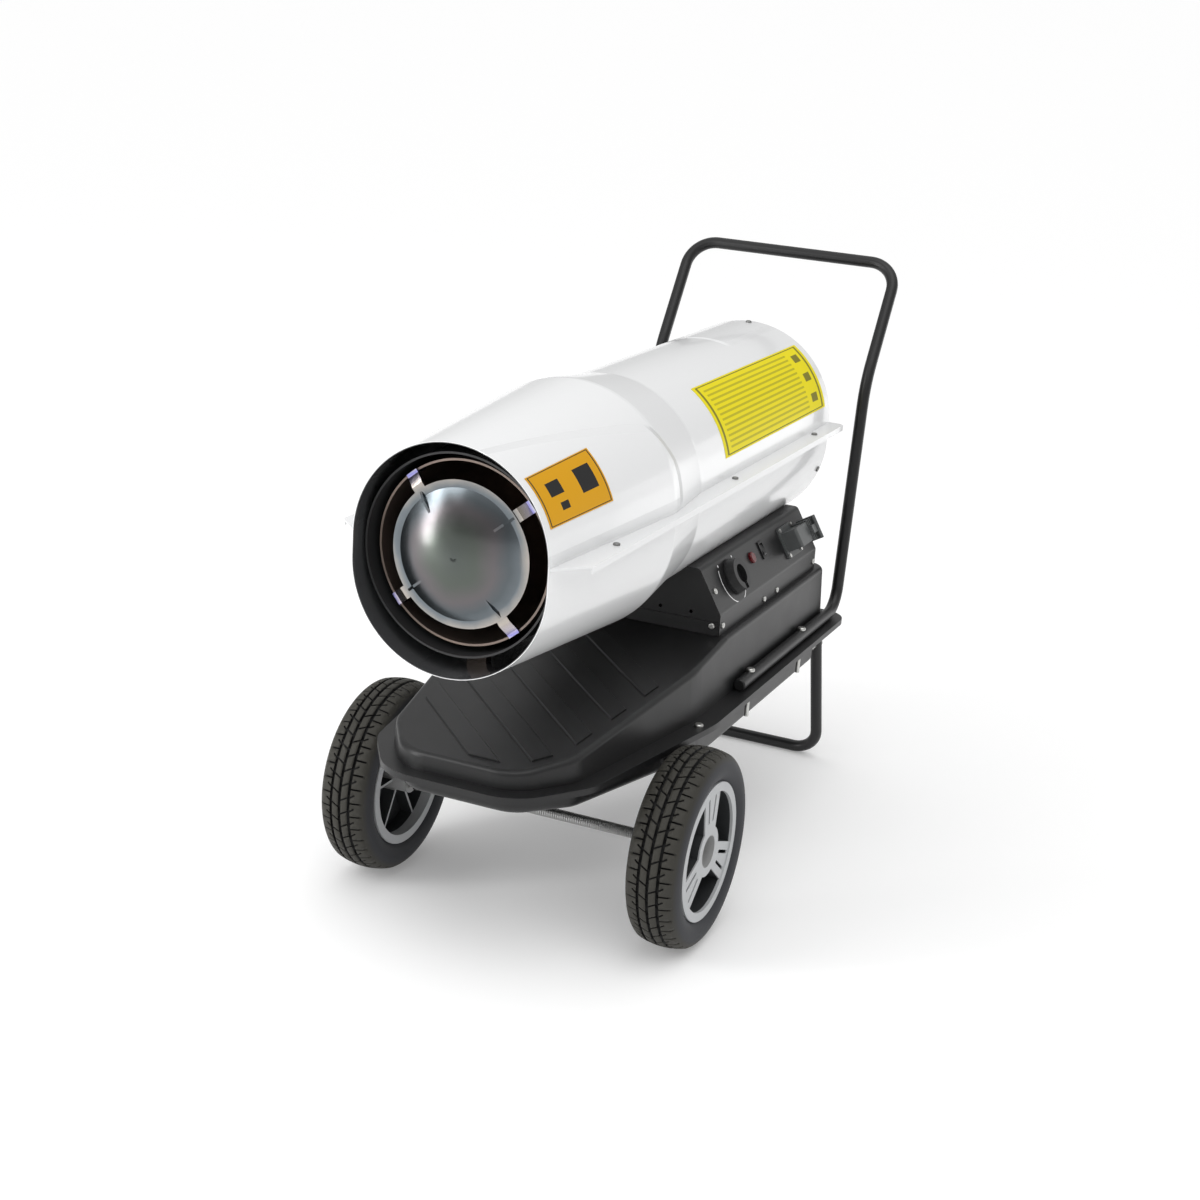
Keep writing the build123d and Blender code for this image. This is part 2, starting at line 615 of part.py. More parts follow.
def top_strips():
    """Raised strips across the sloping top, clear of the filler and the walls."""
    side = 2 * TANK_WIDTH
    field = hump_plan(STRIP_MARGIN) & Pos(0, AXLE_Y + STRIP_END_BEHIND - side / 2) * Rectangle(side, side)
    filler = Circle(CAP_DIA / 2 + FILLER_CLEAR)
    field = field - Pos(-FILLER_SIDE, AXLE_Y + FILLER_BEHIND) * filler
    layer = below_top(-STRIP_RISE) - below_top(0)
    skew = radians(STRIP_SKEW)

    def along_strip(edge):
        way = edge % 0.5
        return abs(way.X * sin(skew) + way.Y * cos(skew)) < 0.01

    strips = []
    for i in range(STRIP_COUNT):
        middle = Pos(0, i * STRIP_PITCH - STRIP_FIRST)
        strip = Pos(0, AXLE_Y) * Rot(Z=-STRIP_SKEW) * middle * Rectangle(side, STRIP_WIDTH)
        for piece in (field & strip).faces():
            raised = Pos(0, 0, SEAM_Z) * extrude(piece, TANK_TOP_Z) & layer
            top = raised.faces().sort_by(lambda f: f.center().Z - ramp_top_z(f.center().Y))[-1]
            strips += chamfer(top.edges().filter_by(along_strip), STRIP_BEVEL).solids()
    return strips


def tank_upper():
    """Pressed upper half: sloping top with raised strips, drafted walls, turned-down flange edge."""
    body = rounded_hump(0, 0)
    for strip in top_strips():
        body += strip
    body -= rounded_hump(TANK_SHEET, TANK_SHEET)
    plate = flange_plan() - hump_plan(TANK_SHEET)
    body += Pos(0, 0, SEAM_Z) * extrude(plate, TANK_SHEET)
    lip = flange_plan() - flange_plan(TANK_SHEET)
    body += Pos(0, 0, SEAM_TOP_Z - FLANGE_LIP) * extrude(lip, FLANGE_LIP)
    mouth_top = TANK_TOP_Z + FILLER_HEIGHT
    body -= rod_z(FILLER_DIA / 2 - FILLER_WALL, SEAM_Z, mouth_top, -FILLER_SIDE, AXLE_Y + FILLER_BEHIND)
    body -= rod_z(FUEL_PIPE_DIA / 2, SEAM_Z, TANK_TOP_Z + 1, -FILTER_SIDE, AXLE_Y + FUEL_LINE_BEHIND)
    return body - frame_bolt_holes()


PAN_FRONT_Y = AXLE_Y - TANK_FRONT_AHEAD + PAN_INSET
PAN_LEVEL_Y = AXLE_Y + PAN_LEVEL_BEHIND
PAN_FRONT_Z = SEAM_Z - PAN_FRONT_DEPTH


def pan_plan(inset=0.0):
    return flange_plan(PAN_INSET + inset, PAN_INSET - PAN_REAR_INSET)


def pan_volume(inset):
    """Drafted pan whose bottom rises towards the front, rounded along its bottom edge."""
    def on_bottom_edge(edge):
        middle, way = edge @ 0.5, edge % 0.5
        across = abs(way.X) > 0.999 and abs(middle.Y - PAN_LEVEL_Y) < 1
        bottom = sloped_z(middle.Y, PAN_FRONT_Y, PAN_LEVEL_Y, PAN_FRONT_Z, PAN_BOTTOM_Z)
        return abs(middle.Z - inset - bottom) < 0.5 and not across

    deep = Pos(0, 0, SEAM_Z) * extrude(pan_plan(inset), -2 * PAN_DEPTH, taper=PAN_DRAFT)
    body = deep & side_profile(PAN_FRONT_Y, PAN_LEVEL_Y, PAN_FRONT_Z + inset, PAN_BOTTOM_Z + inset, SEAM_Z)
    return fillet(body.edges().filter_by(on_bottom_edge), PAN_EDGE_RADIUS - inset)


def tank_lower():
    """Pressed pan below the seam, with its own flat flange and a drain hole."""
    body = pan_volume(0) - pan_volume(TANK_SHEET)
    plate = flange_plan(TANK_SHEET) - pan_plan(TANK_SHEET)
    body += Pos(0, 0, SEAM_Z - TANK_SHEET) * extrude(plate, TANK_SHEET)
    body -= rod_z(DRAIN_DIA / 2, PAN_BOTTOM_Z - 1, SEAM_Z, 0, AXLE_Y + DRAIN_BEHIND)
    return body - frame_bolt_holes()


def frame_bolt_places():
    """Places of the bolts on the +X side, each with the length of its tail below the flange."""
    places = [(HANDLE_HALF_WIDTH, AXLE_Y + y, TUBE_DIA, BOLT_TAIL) for y in BOLT_STATIONS_BEHIND]
    bracket_bolt = (BRACKET_SIDE + BRACKET_BOLT_ASIDE, AXLE_Y + BRACKET_BOLT_BEHIND)
    return places + [(*bracket_bolt, 0.0, BRACKET_BOLT_TAIL)]


def frame_bolt_holes():
    holes = [rod_z(BOLT_DIA / 2, SEAM_Z - 20, SEAM_Z + 20, side * x, y)
             for side in (-1, 1) for x, y, *_ in frame_bolt_places()]
    return Compound(children=[s for h in holes for s in h.solids()])


def drain_plug():
    y = AXLE_Y + DRAIN_BEHIND
    plug = rod_z(DRAIN_DIA / 2, PAN_BOTTOM_Z - 1, PAN_BOTTOM_Z + TANK_SHEET + DRAIN_REACH, 0, y)
    hexagon = RegularPolygon(DRAIN_DIA * 0.6, 6)
    head = Pos(0, y, PAN_BOTTOM_Z - DRAIN_HEAD_HEIGHT) * extrude(hexagon, DRAIN_HEAD_HEIGHT)
    return plug + head


FILLER_TOP_Z = ramp_top_z(AXLE_Y + FILLER_BEHIND) + FILLER_HEIGHT


def filler_neck():
    """Rolled neck welded into the tank's top, with a stop bead for the cap."""
    y = AXLE_Y + FILLER_BEHIND
    low = ramp_top_z(y) - FILLER_WALL * 4
    bore = FILLER_DIA / 2 - FILLER_WALL
    neck = rod_z(FILLER_DIA / 2, low, FILLER_TOP_Z, -FILLER_SIDE, y, bore)
    bead_low = FILLER_TOP_Z - CAP_HEIGHT + CAP_WALL
    neck += rod_z(CAP_DIA / 2, bead_low - FILLER_WALL, bead_low, -FILLER_SIDE, y, bore + FILLER_WALL / 2)
    skin = tank_hump(0, -TANK_SHEET) - tank_hump(0, 0)
    collar = rod_z(CAP_DIA / 2, low, FILLER_TOP_Z, -FILLER_SIDE, y) & skin
    neck = neck - tank_hump(0, 0)
    return (neck + collar) - rod_z(bore, low - 1, FILLER_TOP_Z + 1, -FILLER_SIDE, y)


def fuel_cap():
    y = AXLE_Y + FILLER_BEHIND
    low, top = FILLER_TOP_Z - CAP_HEIGHT + CAP_WALL + LID_GAP, FILLER_TOP_Z + CAP_WALL + LID_GAP
    cap = rod_z(CAP_DIA / 2, low, top, 0, 0)
    cap = fillet(cap.faces().sort_by(Axis.Z)[-1].edges(), CAP_WALL * 0.6)
    for i in range(CAP_GRIPS):
        notch = rod_z(CAP_GRIP_DEPTH, low - 1, top + 1, CAP_DIA / 2 + CAP_GRIP_DEPTH / 4, 0)
        cap -= Rot(Z=i * 360 / CAP_GRIPS) * notch
    cap -= rod_z(FILLER_DIA / 2 + LID_GAP, low - 1, FILLER_TOP_Z + LID_GAP, 0, 0)
    rise = CAP_WALL
    cap += Pos(0, 0, top + rise / 2) * Box(CAP_DIA * 0.62, CAP_WALL * 2, rise + 0.4)
    return Pos(-FILLER_SIDE, y, 0) * cap


def filler_strainer():
    """Perforated basket that hangs in the neck."""
    radius = FILLER_DIA / 2 - FILLER_WALL - STRAINER_GAP
    low, rim_low = FILLER_TOP_Z - STRAINER_DEPTH, FILLER_TOP_Z - STRAINER_RIM
    basket = rod_z(radius, low, rim_low, 0, 0, radius - STRAINER_SHEET)
    basket += rod_z(radius, low, low + STRAINER_SHEET, 0, 0)
    edge = STRAINER_SLOT_WIDTH
    for i in range(STRAINER_SLOTS):
        slot = block((0, radius + 1), (-edge / 2, edge / 2), (low + edge, rim_low - 2 * edge))
        basket -= Rot(Z=i * 360 / STRAINER_SLOTS) * slot
    basket += rod_z(FILLER_DIA / 2 - FILLER_WALL, rim_low, FILLER_TOP_Z, 0, 0, radius - STRAINER_SHEET)
    return Pos(-FILLER_SIDE, AXLE_Y + FILLER_BEHIND, 0) * basket


def axle_brackets():
    """Plates beside the pan that carry the axle, each with a bolted foot under the flange."""
    top = SEAM_Z - TANK_SHEET
    front, rear = (AXLE_Y + place for place in BRACKET_TOP)
    eye = BRACKET_EYE_RADIUS
    sides = make_face(Polyline((front, top), (rear, top), (rear, top - BRACKET_REAR_DEPTH),
                               (AXLE_Y + eye, AXLE_Z), (AXLE_Y - eye, AXLE_Z), close=True))
    shape = sides + Pos(AXLE_Y, AXLE_Z) * Circle(eye)
    plate = along_x(shape, BRACKET_SIDE, BRACKET_SIDE + BRACKET_THICK)
    foot = [AXLE_Y + place for place in BRACKET_FOOT]
    plate += block((BRACKET_SIDE, BRACKET_SIDE + BRACKET_THICK + BRACKET_FOOT_WIDTH), foot,
                   (top - BRACKET_THICK, top))
    plate -= frame_bolt_holes()
    return both_sides([plate - axle()])


# ---------------------------------------------------------------- handle and foot
def handle_tube():
    """Bent tube: two rails on the flange, two uprights that close in a little, a crossbar."""
    x, upper_x, low = HANDLE_HALF_WIDTH, HANDLE_TOP_HALF_WIDTH, SEAM_TOP_Z + TUBE_R
    right = [(x, AXLE_Y + HANDLE_START_BEHIND, low), (x, AXLE_Y + HANDLE_BEND_BEHIND, low),
             (upper_x, AXLE_Y + HANDLE_KINK_BEHIND, HANDLE_KINK_Z),
             (upper_x, AXLE_Y + HANDLE_BEHIND, HANDLE_TOP_Z)]
    left = [(-px, py, pz) for px, py, pz in reversed(right)]
    bends = [HANDLE_BEND_RADIUS, HANDLE_KINK_RADIUS, HANDLE_CORNER_RADIUS]
    tube = bent_tube(right + left, bends + bends[::-1], TUBE_R, TUBE_WALL)
    for side in (-1, 1):
        for y in BOLT_STATIONS_BEHIND:
            tube -= rod_z(BOLT_DIA / 2, SEAM_Z, SEAM_Z + 2 * TUBE_DIA, side * x, AXLE_Y + y)
    return tube


def handle_end_plugs():
    """Moulded plugs pushed into the tube's open ends."""
    y = AXLE_Y + HANDLE_START_BEHIND
    z = SEAM_TOP_Z + TUBE_R
    head = tube_y(TUBE_R, 0, y - END_PLUG_HEAD, y, z, HANDLE_HALF_WIDTH)
    head = fillet(head.faces().sort_by(Axis.Y)[0].edges(), END_PLUG_HEAD * 0.6)
    return both_sides([head + tube_y(TUBE_R - TUBE_WALL, 0, y, y + END_PLUG_LENGTH, z, HANDLE_HALF_WIDTH)])


def frame_bolts():
    """Domed bolts through the handle's rails and the brackets' feet."""
    pieces = []
    for x, y, grip, tail in frame_bolt_places():
        top = SEAM_TOP_Z + grip
        bolt = rod_z(BOLT_DIA / 2, SEAM_Z - tail, top, x, y)
        head = rod_z(BOLT_HEAD_DIA / 2, top, top + BOLT_HEAD_HEIGHT, x, y)
        pieces.append(bolt + fillet(head.faces().sort_by(Axis.Z)[-1].edges(), BOLT_HEAD_HEIGHT * 0.6))
    return both_sides(pieces)


def frame_nuts():
    hexagon = RegularPolygon(NUT_WIDTH / 2, 6, major_radius=False)
    pieces = []
    for x, y, grip, _ in frame_bolt_places():
        low = SEAM_Z - TANK_SHEET - NUT_HEIGHT - (0 if grip else BRACKET_THICK)
        nut = Pos(x, y, low) * extrude(hexagon, NUT_HEIGHT)
        pieces.append(nut - rod_z(BOLT_DIA / 2, low - 1, SEAM_Z, x, y))
    return both_sides(pieces)


FOOT_TOP_Z = SEAM_Z - TANK_SHEET
FOOT_LEAN = (FOOT_BOTTOM_BEHIND - FOOT_TOP_BEHIND) / (FOOT_TOP_Z - TUBE_R)


def foot_y(z):
    """Centre line of the foot's legs, which lean back towards the ground."""
    return AXLE_Y + FOOT_TOP_BEHIND + FOOT_LEAN * (FOOT_TOP_Z - z)


def foot_tube():
    """Bent tube whose legs are cut off level under the tank's flange."""
    x, over = FOOT_HALF_WIDTH, FOOT_TOP_Z + TUBE_R
    points = [(x, foot_y(over), over), (x, foot_y(TUBE_R), TUBE_R), (-x, foot_y(TUBE_R), TUBE_R),
              (-x, foot_y(over), over)]
    tube = bent_tube(points, [FOOT_CORNER_RADIUS] * 2, TUBE_R, TUBE_WALL)
    above = (FOOT_TOP_Z, SEAM_Z + TUBE_DIA)
    tube -= block((-TANK_WIDTH, TANK_WIDTH), (AXLE_Y, AXLE_Y + HANDLE_BEHIND), above)
    for screw in foot_bolts():
        tube -= screw
    return tube


def foot_bolts():
    """Bolts from behind through each leg of the foot into the pan's rear wall."""
    lean = atan2(FOOT_LEAN, 1)
    pieces = []
    for i in range(2):
        z = FOOT_TOP_Z - FOOT_SCREW_DROP - i * FOOT_SCREW_SPACING
        wall = AXLE_Y + TANK_REAR_BEHIND - PAN_REAR_INSET
        wall -= (SEAM_Z - z - FOOT_SCREW_DIA / 2) * tan(radians(PAN_DRAFT))
        back = foot_y(z) + TUBE_R / cos(lean) + BOLT_HEAD_DIA / 2 * tan(lean)
        screw = tube_y(FOOT_SCREW_DIA / 2, 0, wall, back, z, FOOT_HALF_WIDTH)
        head = tube_y(BOLT_HEAD_DIA / 2, 0, back, back + BOLT_HEAD_HEIGHT, z, FOOT_HALF_WIDTH)
        pieces.append(screw + fillet(head.faces().sort_by(Axis.Y)[-1].edges(), BOLT_HEAD_HEIGHT * 0.6))
    return both_sides(pieces)


# ---------------------------------------------------------------- barrel shells
def shell_radius(y):
    """Radius of the barrel at a station: widening front, short taper, then parallel."""
    marks = [(LIP_Y, LIP_RADIUS), (AXLE_Y + BELLY_BEHIND, BELLY_RADIUS),
             (AXLE_Y + TAIL_START_BEHIND, TAIL_RADIUS), (REAR_Y, TAIL_RADIUS)]
    for (ya, ra), (yb, rb) in zip(marks, marks[1:]):
        if y <= yb:
            return ra + (rb - ra) * (y - ya) / (yb - ya)
    return TAIL_RADIUS


def shell_strip(inner, outer, z):
    """Band between two offsets from the barrel's radius, drawn in plan at the height z."""
    def edge(gap):
        belly, tail = AXLE_Y + BELLY_BEHIND, AXLE_Y + TAIL_START_BEHIND
        return [(LIP_RADIUS - gap, LIP_Y), (BELLY_RADIUS - gap, belly),
                (TAIL_RADIUS - gap, tail), (TAIL_RADIUS - gap, REAR_Y)]
    band = make_face(Polyline(*edge(outer), *reversed(edge(inner)), close=True))
    bends = band.vertices().filter_by(lambda v: abs(v.Y - AXLE_Y - BELLY_BEHIND) < 1)
    bends += band.vertices().filter_by(lambda v: abs(v.Y - AXLE_Y - TAIL_START_BEHIND) < 1)
    return Pos(0, 0, z) * fillet(bends, SHELL_BEND_RADIUS)


def side_flange(z0, z1, width):
    """Plan of one side flange: a strip from the shell's wall to its straight outer edge."""
    start = LIP_Y + FLANGE_FRONT_CUT
    inner = LIP_RADIUS - SHELL_SHEET / 2
    points = [(inner, LIP_Y + 1), (width, start), (width, REAR_Y - 6), (width - 6, REAR_Y), (inner, REAR_Y)]
    face = make_face(Polyline(*points, close=True))
    core = shell_strip(SHELL_SHEET / 2, BELLY_RADIUS, 0)
    strip = Pos(0, 0, z0) * extrude(face - core, z1 - z0)
    return strip


def upper_shell():
    """Upper half of the barrel with flat side flanges whose edges turn down."""
    half = revolve(shell_strip(SHELL_SHEET, 0, SPLIT_Z), Axis((0, 0, SPLIT_Z), (0, -1, 0)), 180)
    flange = side_flange(SPLIT_Z, SPLIT_Z + SHELL_SHEET, FLANGE_HALF_WIDTH)
    start = LIP_Y + FLANGE_FRONT_CUT
    lip = block((FLANGE_HALF_WIDTH - SHELL_SHEET, FLANGE_HALF_WIDTH), (start, REAR_Y - 6),
                (SPLIT_Z + SHELL_SHEET - SHELL_LIP_DROP, SPLIT_Z + SHELL_SHEET))
    shell = half + (flange + lip) + mirrored(flange + lip)
    for hole in shell_screw_holes():
        shell -= hole
    return shell


def lower_shell():
    """Deeper lower half: straight side walls above a round bottom, and its own side flanges."""
    strip = shell_strip(SHELL_SHEET, 0, LOWER_AXIS_Z)
    half = revolve(strip, Axis((0, 0, LOWER_AXIS_Z), (0, 1, 0)), 180)
    wall = extrude(strip, SIDE_DROP)
    flange = side_flange(SPLIT_Z - SHELL_SHEET, SPLIT_Z, FLANGE_HALF_WIDTH - SHELL_SHEET - SHELL_GAP)
    shell = half + (wall + flange) + mirrored(wall + flange)
    for hole in shell_screw_holes():
        shell -= hole
    return shell - rod_z(HOSE_DIA / 2 + 1, TANK_TOP_Z, BURNER_Z, -FUEL_LINE_SIDE, AXLE_Y + FUEL_LINE_BEHIND)


def shell_screw_places():
    """Top points and inward directions of the screws that hold the shells and the rear grille."""
    z = SPLIT_Z + SHELL_SHEET
    places = [((side * SHELL_SCREW_SIDE, AXLE_Y - y, z), (0, 0, -1))
              for side in (-1, 1) for y in SHELL_SCREWS_AHEAD]
    rear = REAR_Y - GRILLE_SETBACK
    places.append(((0, rear, SPLIT_Z + TAIL_RADIUS), (0, 0, -1)))
    for side in (-1, 1):
        down = radians(-18)
        places.append(((side * TAIL_RADIUS * cos(down), rear, LOWER_AXIS_Z + TAIL_RADIUS * sin(down)),
                       (-side * cos(down), 0, -sin(down))))
    return places


def shell_screw_holes():
    holes = []
    for point, way in shell_screw_places():
        plane = Plane(origin=Vector(*point) - Vector(*way) * 3, z_dir=way)
        holes += extrude(plane * Circle(SCREW_DIA / 2), 12).solids()
    return holes


def shell_screws():
    pieces = []
    for point, way in shell_screw_places():
        plane = Plane(origin=point, z_dir=way)
        shank = extrude(plane * Circle(SCREW_DIA / 2), 8)
        head = extrude(plane * Circle(SCREW_HEAD_DIA / 2), -SCREW_HEAD_HEIGHT)
        far = head.faces().sort_by_distance(Vector(*point) - Vector(*way) * 10)[0]
        pieces.append(fillet(far.edges(), SCREW_HEAD_HEIGHT * 0.6) + shank)
    return [solid for piece in pieces for solid in piece.solids()]


# ---------------------------------------------------------------- chamber
def heat_shield():
    """Open cylinder that keeps the outer shells cool, with a rolled front edge."""
    y = LIP_Y + SHIELD_SETBACK
    tube = tube_y(SHIELD_RADIUS, SHIELD_RADIUS - LINER_SHEET, y, y + SHIELD_LENGTH)
    return tube + tube_y(SHIELD_RADIUS, SHIELD_RADIUS - 2 * LINER_SHEET, y, y + 2 * LINER_SHEET)


def combustion_chamber():
    """Stainless can: beaded front edge, open front, rear plate with the burner opening."""
    y0 = LIP_Y + CHAMBER_SETBACK
    y1 = y0 + CHAMBER_LENGTH
    can = tube_y(CHAMBER_RADIUS, CHAMBER_RADIUS - LINER_SHEET, y0, y1)
    can += tube_y(CHAMBER_RADIUS, CHAMBER_RADIUS - CHAMBER_BEAD, y0, y0 + CHAMBER_BEAD)
    can += tube_y(CHAMBER_RADIUS, BURNER_TUBE_RADIUS, y1 - LINER_SHEET, y1)
    return can


def shield_brackets():
    """Angles between the heat shield and the shells, above and below."""
    y = LIP_Y + SHIELD_SETBACK + STRUT_STATIONS[0]
    radius = shell_radius(y) - SHELL_SHEET
    pieces = []
    for centre, way in ((SPLIT_Z, 1), (LOWER_AXIS_Z, -1)):
        half = Pos(0, BURNER_Z + way * BELLY_RADIUS) * Rectangle(2 * STRUT_WIDTH, 2 * BELLY_RADIUS)
        face = (Pos(0, centre) * Circle(radius) & half) - Pos(0, BURNER_Z) * Circle(SHIELD_RADIUS)
        pieces += along_y(face, y, y + STRUT_WIDTH).solids()
    return pieces


def chamber_struts():
    """Small struts that hold the chamber inside the shield, and the shield inside the shells."""
    pieces = []
    for station in STRUT_STATIONS:
        y = LIP_Y + SHIELD_SETBACK + station
        strut = block((-STRUT_WIDTH / 2, STRUT_WIDTH / 2), (y, y + STRUT_WIDTH),
                      (CHAMBER_RADIUS - 2, SHIELD_RADIUS))
        ring = tube_y(SHIELD_RADIUS - LINER_SHEET, CHAMBER_RADIUS, y - 1, y + STRUT_WIDTH + 1, 0)
        strut = strut & ring
        for i in range(LEG_COUNT):
            pieces.append(Pos(0, 0, BURNER_Z) * Rot(Y=i * 360 / LEG_COUNT) * strut)
    return [solid for piece in pieces for solid in piece.solids()] + shield_brackets()


def flame_deflector():
    """Domed disc in front of the flame, on four legs that hook over the chamber's edge."""
    y = LIP_Y + DEFLECTOR_SETBACK
    t = LINER_SHEET
    dome = DEFLECTOR_RADIUS - DEFLECTOR_RIM
    ball = (dome**2 + DOME_RISE**2) / (2 * DOME_RISE)
    centre = y - DOME_RISE + ball
    hollow = sqrt((ball - t) ** 2 - (ball - DOME_RISE) ** 2)
    middle = dome / 2
    section = make_face(Wire([
        ThreePointArc((0, y - DOME_RISE), (middle, centre - sqrt(ball**2 - middle**2)), (dome, y)),
        Line((dome, y), (DEFLECTOR_RADIUS, y)), Line((DEFLECTOR_RADIUS, y), (DEFLECTOR_RADIUS, y + t)),
        Line((DEFLECTOR_RADIUS, y + t), (hollow, y + t)), Line((hollow, y + t), (hollow, y)),
        ThreePointArc((hollow, y), (middle, centre - sqrt((ball - t) ** 2 - middle**2)),
                      (0, y - DOME_RISE + t)),
        Line((0, y - DOME_RISE + t), (0, y - DOME_RISE)),
    ]))
    disc = revolve(section, Axis.Y)
    front = LIP_Y + CHAMBER_SETBACK
    reach = CHAMBER_RADIUS - CHAMBER_BEAD - t - LEG_GAP
    bend = DEFLECTOR_RADIUS + 6
    side = make_face(Polyline(
        (dome, y + t), (bend, y + t), (reach, front - 2 * t), (CHAMBER_RADIUS, front - 2 * t),
        (CHAMBER_RADIUS, front), (reach + t, front), (reach + t, front + LEG_TAB), (reach, front + LEG_TAB),
        (reach, front), (bend, y + 3 * t), (dome, y + 3 * t), close=True))
    leg = extrude(side, LEG_WIDTH / 2, both=True)

    def dome_y(radius):
        return centre - sqrt(ball**2 - radius**2)

    foot, peak = dome - LEG_RIB_LENGTH, dome - LEG_RIB_LENGTH / 4
    rib = make_face(Polyline(
        (foot, dome_y(foot) + t / 2), (peak, dome_y(peak) - LEG_RIB_RISE), (DEFLECTOR_RADIUS - t, y + t / 2),
        (peak, dome_y(peak) + t / 2), close=True))
    leg += extrude(rib, LEG_RIB_THICK / 2, both=True)
    for i in range(LEG_COUNT):
        disc += Rot(Y=LEG_TURN + i * 360 / LEG_COUNT) * leg
    return Pos(0, 0, BURNER_Z) * disc


# ---------------------------------------------------------------- burner head
CHAMBER_REAR_Y = LIP_Y + CHAMBER_SETBACK + CHAMBER_LENGTH
HEAD_FRONT_Y = CHAMBER_REAR_Y - HEAD_REACH
HEAD_REAR_Y = HEAD_FRONT_Y + HEAD_LENGTH
PORT_RADIUS = HOSE_DIA / 2 + 2


def burner_head():
    """Air tube behind the chamber with a slotted swirl plate at its front and a drilled rear plate."""
    r, t = BURNER_TUBE_RADIUS, HEAD_SHEET
    head = tube_y(r, r - t, HEAD_FRONT_Y, HEAD_REAR_Y)
    head += tube_y(r + HEAD_FLANGE, r, CHAMBER_REAR_Y, CHAMBER_REAR_Y + t)
    opening = NOZZLE_DIA / 2 + HEAD_SLOT_MARGIN
    plate = tube_y(r - t / 2, opening, HEAD_FRONT_Y, HEAD_FRONT_Y + t)
    slot = block((opening + t * 3, r - HEAD_SLOT_MARGIN), (HEAD_FRONT_Y - 1, HEAD_FRONT_Y + t + 1),
                 (-HEAD_SLOT_WIDTH / 2, HEAD_SLOT_WIDTH / 2))
    rear = tube_y(r - t / 2, 0, HEAD_REAR_Y - t, HEAD_REAR_Y)
    hole = tube_y(HEAD_SLOT_WIDTH, 0, HEAD_REAR_Y - t - 1, HEAD_REAR_Y + 1, 0, r * HEAD_HOLES_AT)
    for i in range(HEAD_SLOTS):
        plate -= Pos(0, 0, BURNER_Z) * Rot(Y=i * 360 / HEAD_SLOTS) * slot
        rear -= Pos(0, 0, BURNER_Z) * Rot(Y=(i + 0.5) * 360 / HEAD_SLOTS) * hole
    rear -= tube_y(ADAPTER_SIZE / 2, 0, HEAD_REAR_Y - t - 1, HEAD_REAR_Y + 1)
    for electrode in electrodes():
        rear -= electrode
    return head + plate + rear


def nozzle_block():
    """Brass block with a round collar through the head's rear plate and a hose port on each side."""
    y, half = HEAD_REAR_Y, ADAPTER_SIZE / 2
    body = tube_y(half, 0, y - ADAPTER_COLLAR, y)
    body += block((-half, half), (y, y + ADAPTER_LENGTH), (BURNER_Z - half, BURNER_Z + half))
    reach = half + PORT_LENGTH
    return body + rod_x(PORT_RADIUS, -reach, reach, y + ADAPTER_LENGTH / 2, BURNER_Z)


def oil_nozzle():
    """Hexagonal nozzle with a conical tip."""
    y1 = HEAD_REAR_Y - ADAPTER_COLLAR
    y0 = y1 - NOZZLE_LENGTH + NOZZLE_TIP
    shoulder = y0 + NOZZLE_TIP
    body = along_y(Pos(0, BURNER_Z) * RegularPolygon(NOZZLE_DIA / 2, 6), shoulder, y1)
    cone = Polyline((0, y0), (NOZZLE_ORIFICE_RADIUS, y0), (NOZZLE_DIA * 0.4, shoulder), (0, shoulder),
                    close=True)
    return body + Pos(0, 0, BURNER_Z) * revolve(make_face(cone), Axis.Y)


def electrodes():
    """Two ceramic rods beside the nozzle, each with a wire towards its tip."""
    pieces = []
    y1 = HEAD_REAR_Y + ELECTRODE_TAIL
    y0 = y1 - ELECTRODE_LENGTH + ELECTRODE_WIRE_LENGTH
    z = BURNER_Z + ELECTRODE_RISE
    for x in (-ELECTRODE_SPREAD, ELECTRODE_SPREAD):
        rod = tube_y(ELECTRODE_DIA / 2, 0, y0 + NOZZLE_TIP, y1, z, x)
        wire = tube_y(ELECTRODE_WIRE_DIA / 2, 0, y0 - NOZZLE_TIP / 2, y0 + NOZZLE_TIP, z, x)
        pieces += (rod + wire).solids()
    return pieces


def photocell():
    y = HEAD_REAR_Y
    z = BURNER_Z - PHOTOCELL_OFFSET
    body = tube_y(PHOTOCELL_DIA / 2, 0, y, y + PHOTOCELL_LENGTH, z)
    return body + tube_y(PHOTOCELL_DIA / 2 + 2, 0, y, y + 4, z)


# ---------------------------------------------------------------- fan, motor, pump
FAN_Y = AXLE_Y + FAN_BEHIND
MOTOR_Y = AXLE_Y + MOTOR_START_BEHIND
PUMP_Y = MOTOR_Y + MOTOR_LENGTH


def fan_rotor():
    """Five twisted blades on a hub."""
    hub = tube_y(FAN_HUB_RADIUS, SHAFT_DIA / 2, FAN_Y - FAN_HUB_LENGTH / 2, FAN_Y + FAN_HUB_LENGTH / 2, 0)

    def section(radius, chord, pitch):
        plane = Plane(origin=(0, FAN_Y, radius), x_dir=(1, 0, 0), z_dir=(0, 0, 1))
        return plane * (Rot(Z=pitch) * Rectangle(chord, BLADE_THICK))

    root = section(FAN_HUB_RADIUS - 4, BLADE_ROOT_CHORD * 0.7, BLADE_ROOT_PITCH)
    tip = section(FAN_RADIUS - 3, BLADE_TIP_CHORD, BLADE_TIP_PITCH)
    blade = loft([root, tip], ruled=True)
    disc = tube_y(FAN_RADIUS, SHAFT_DIA / 2, FAN_Y - BLADE_TIP_CHORD, FAN_Y + BLADE_TIP_CHORD, 0)
    blade = blade & disc
    rotor = hub
    for i in range(FAN_BLADES):
        rotor += Rot(Y=i * 360 / FAN_BLADES) * blade
    return Pos(0, 0, BURNER_Z) * rotor


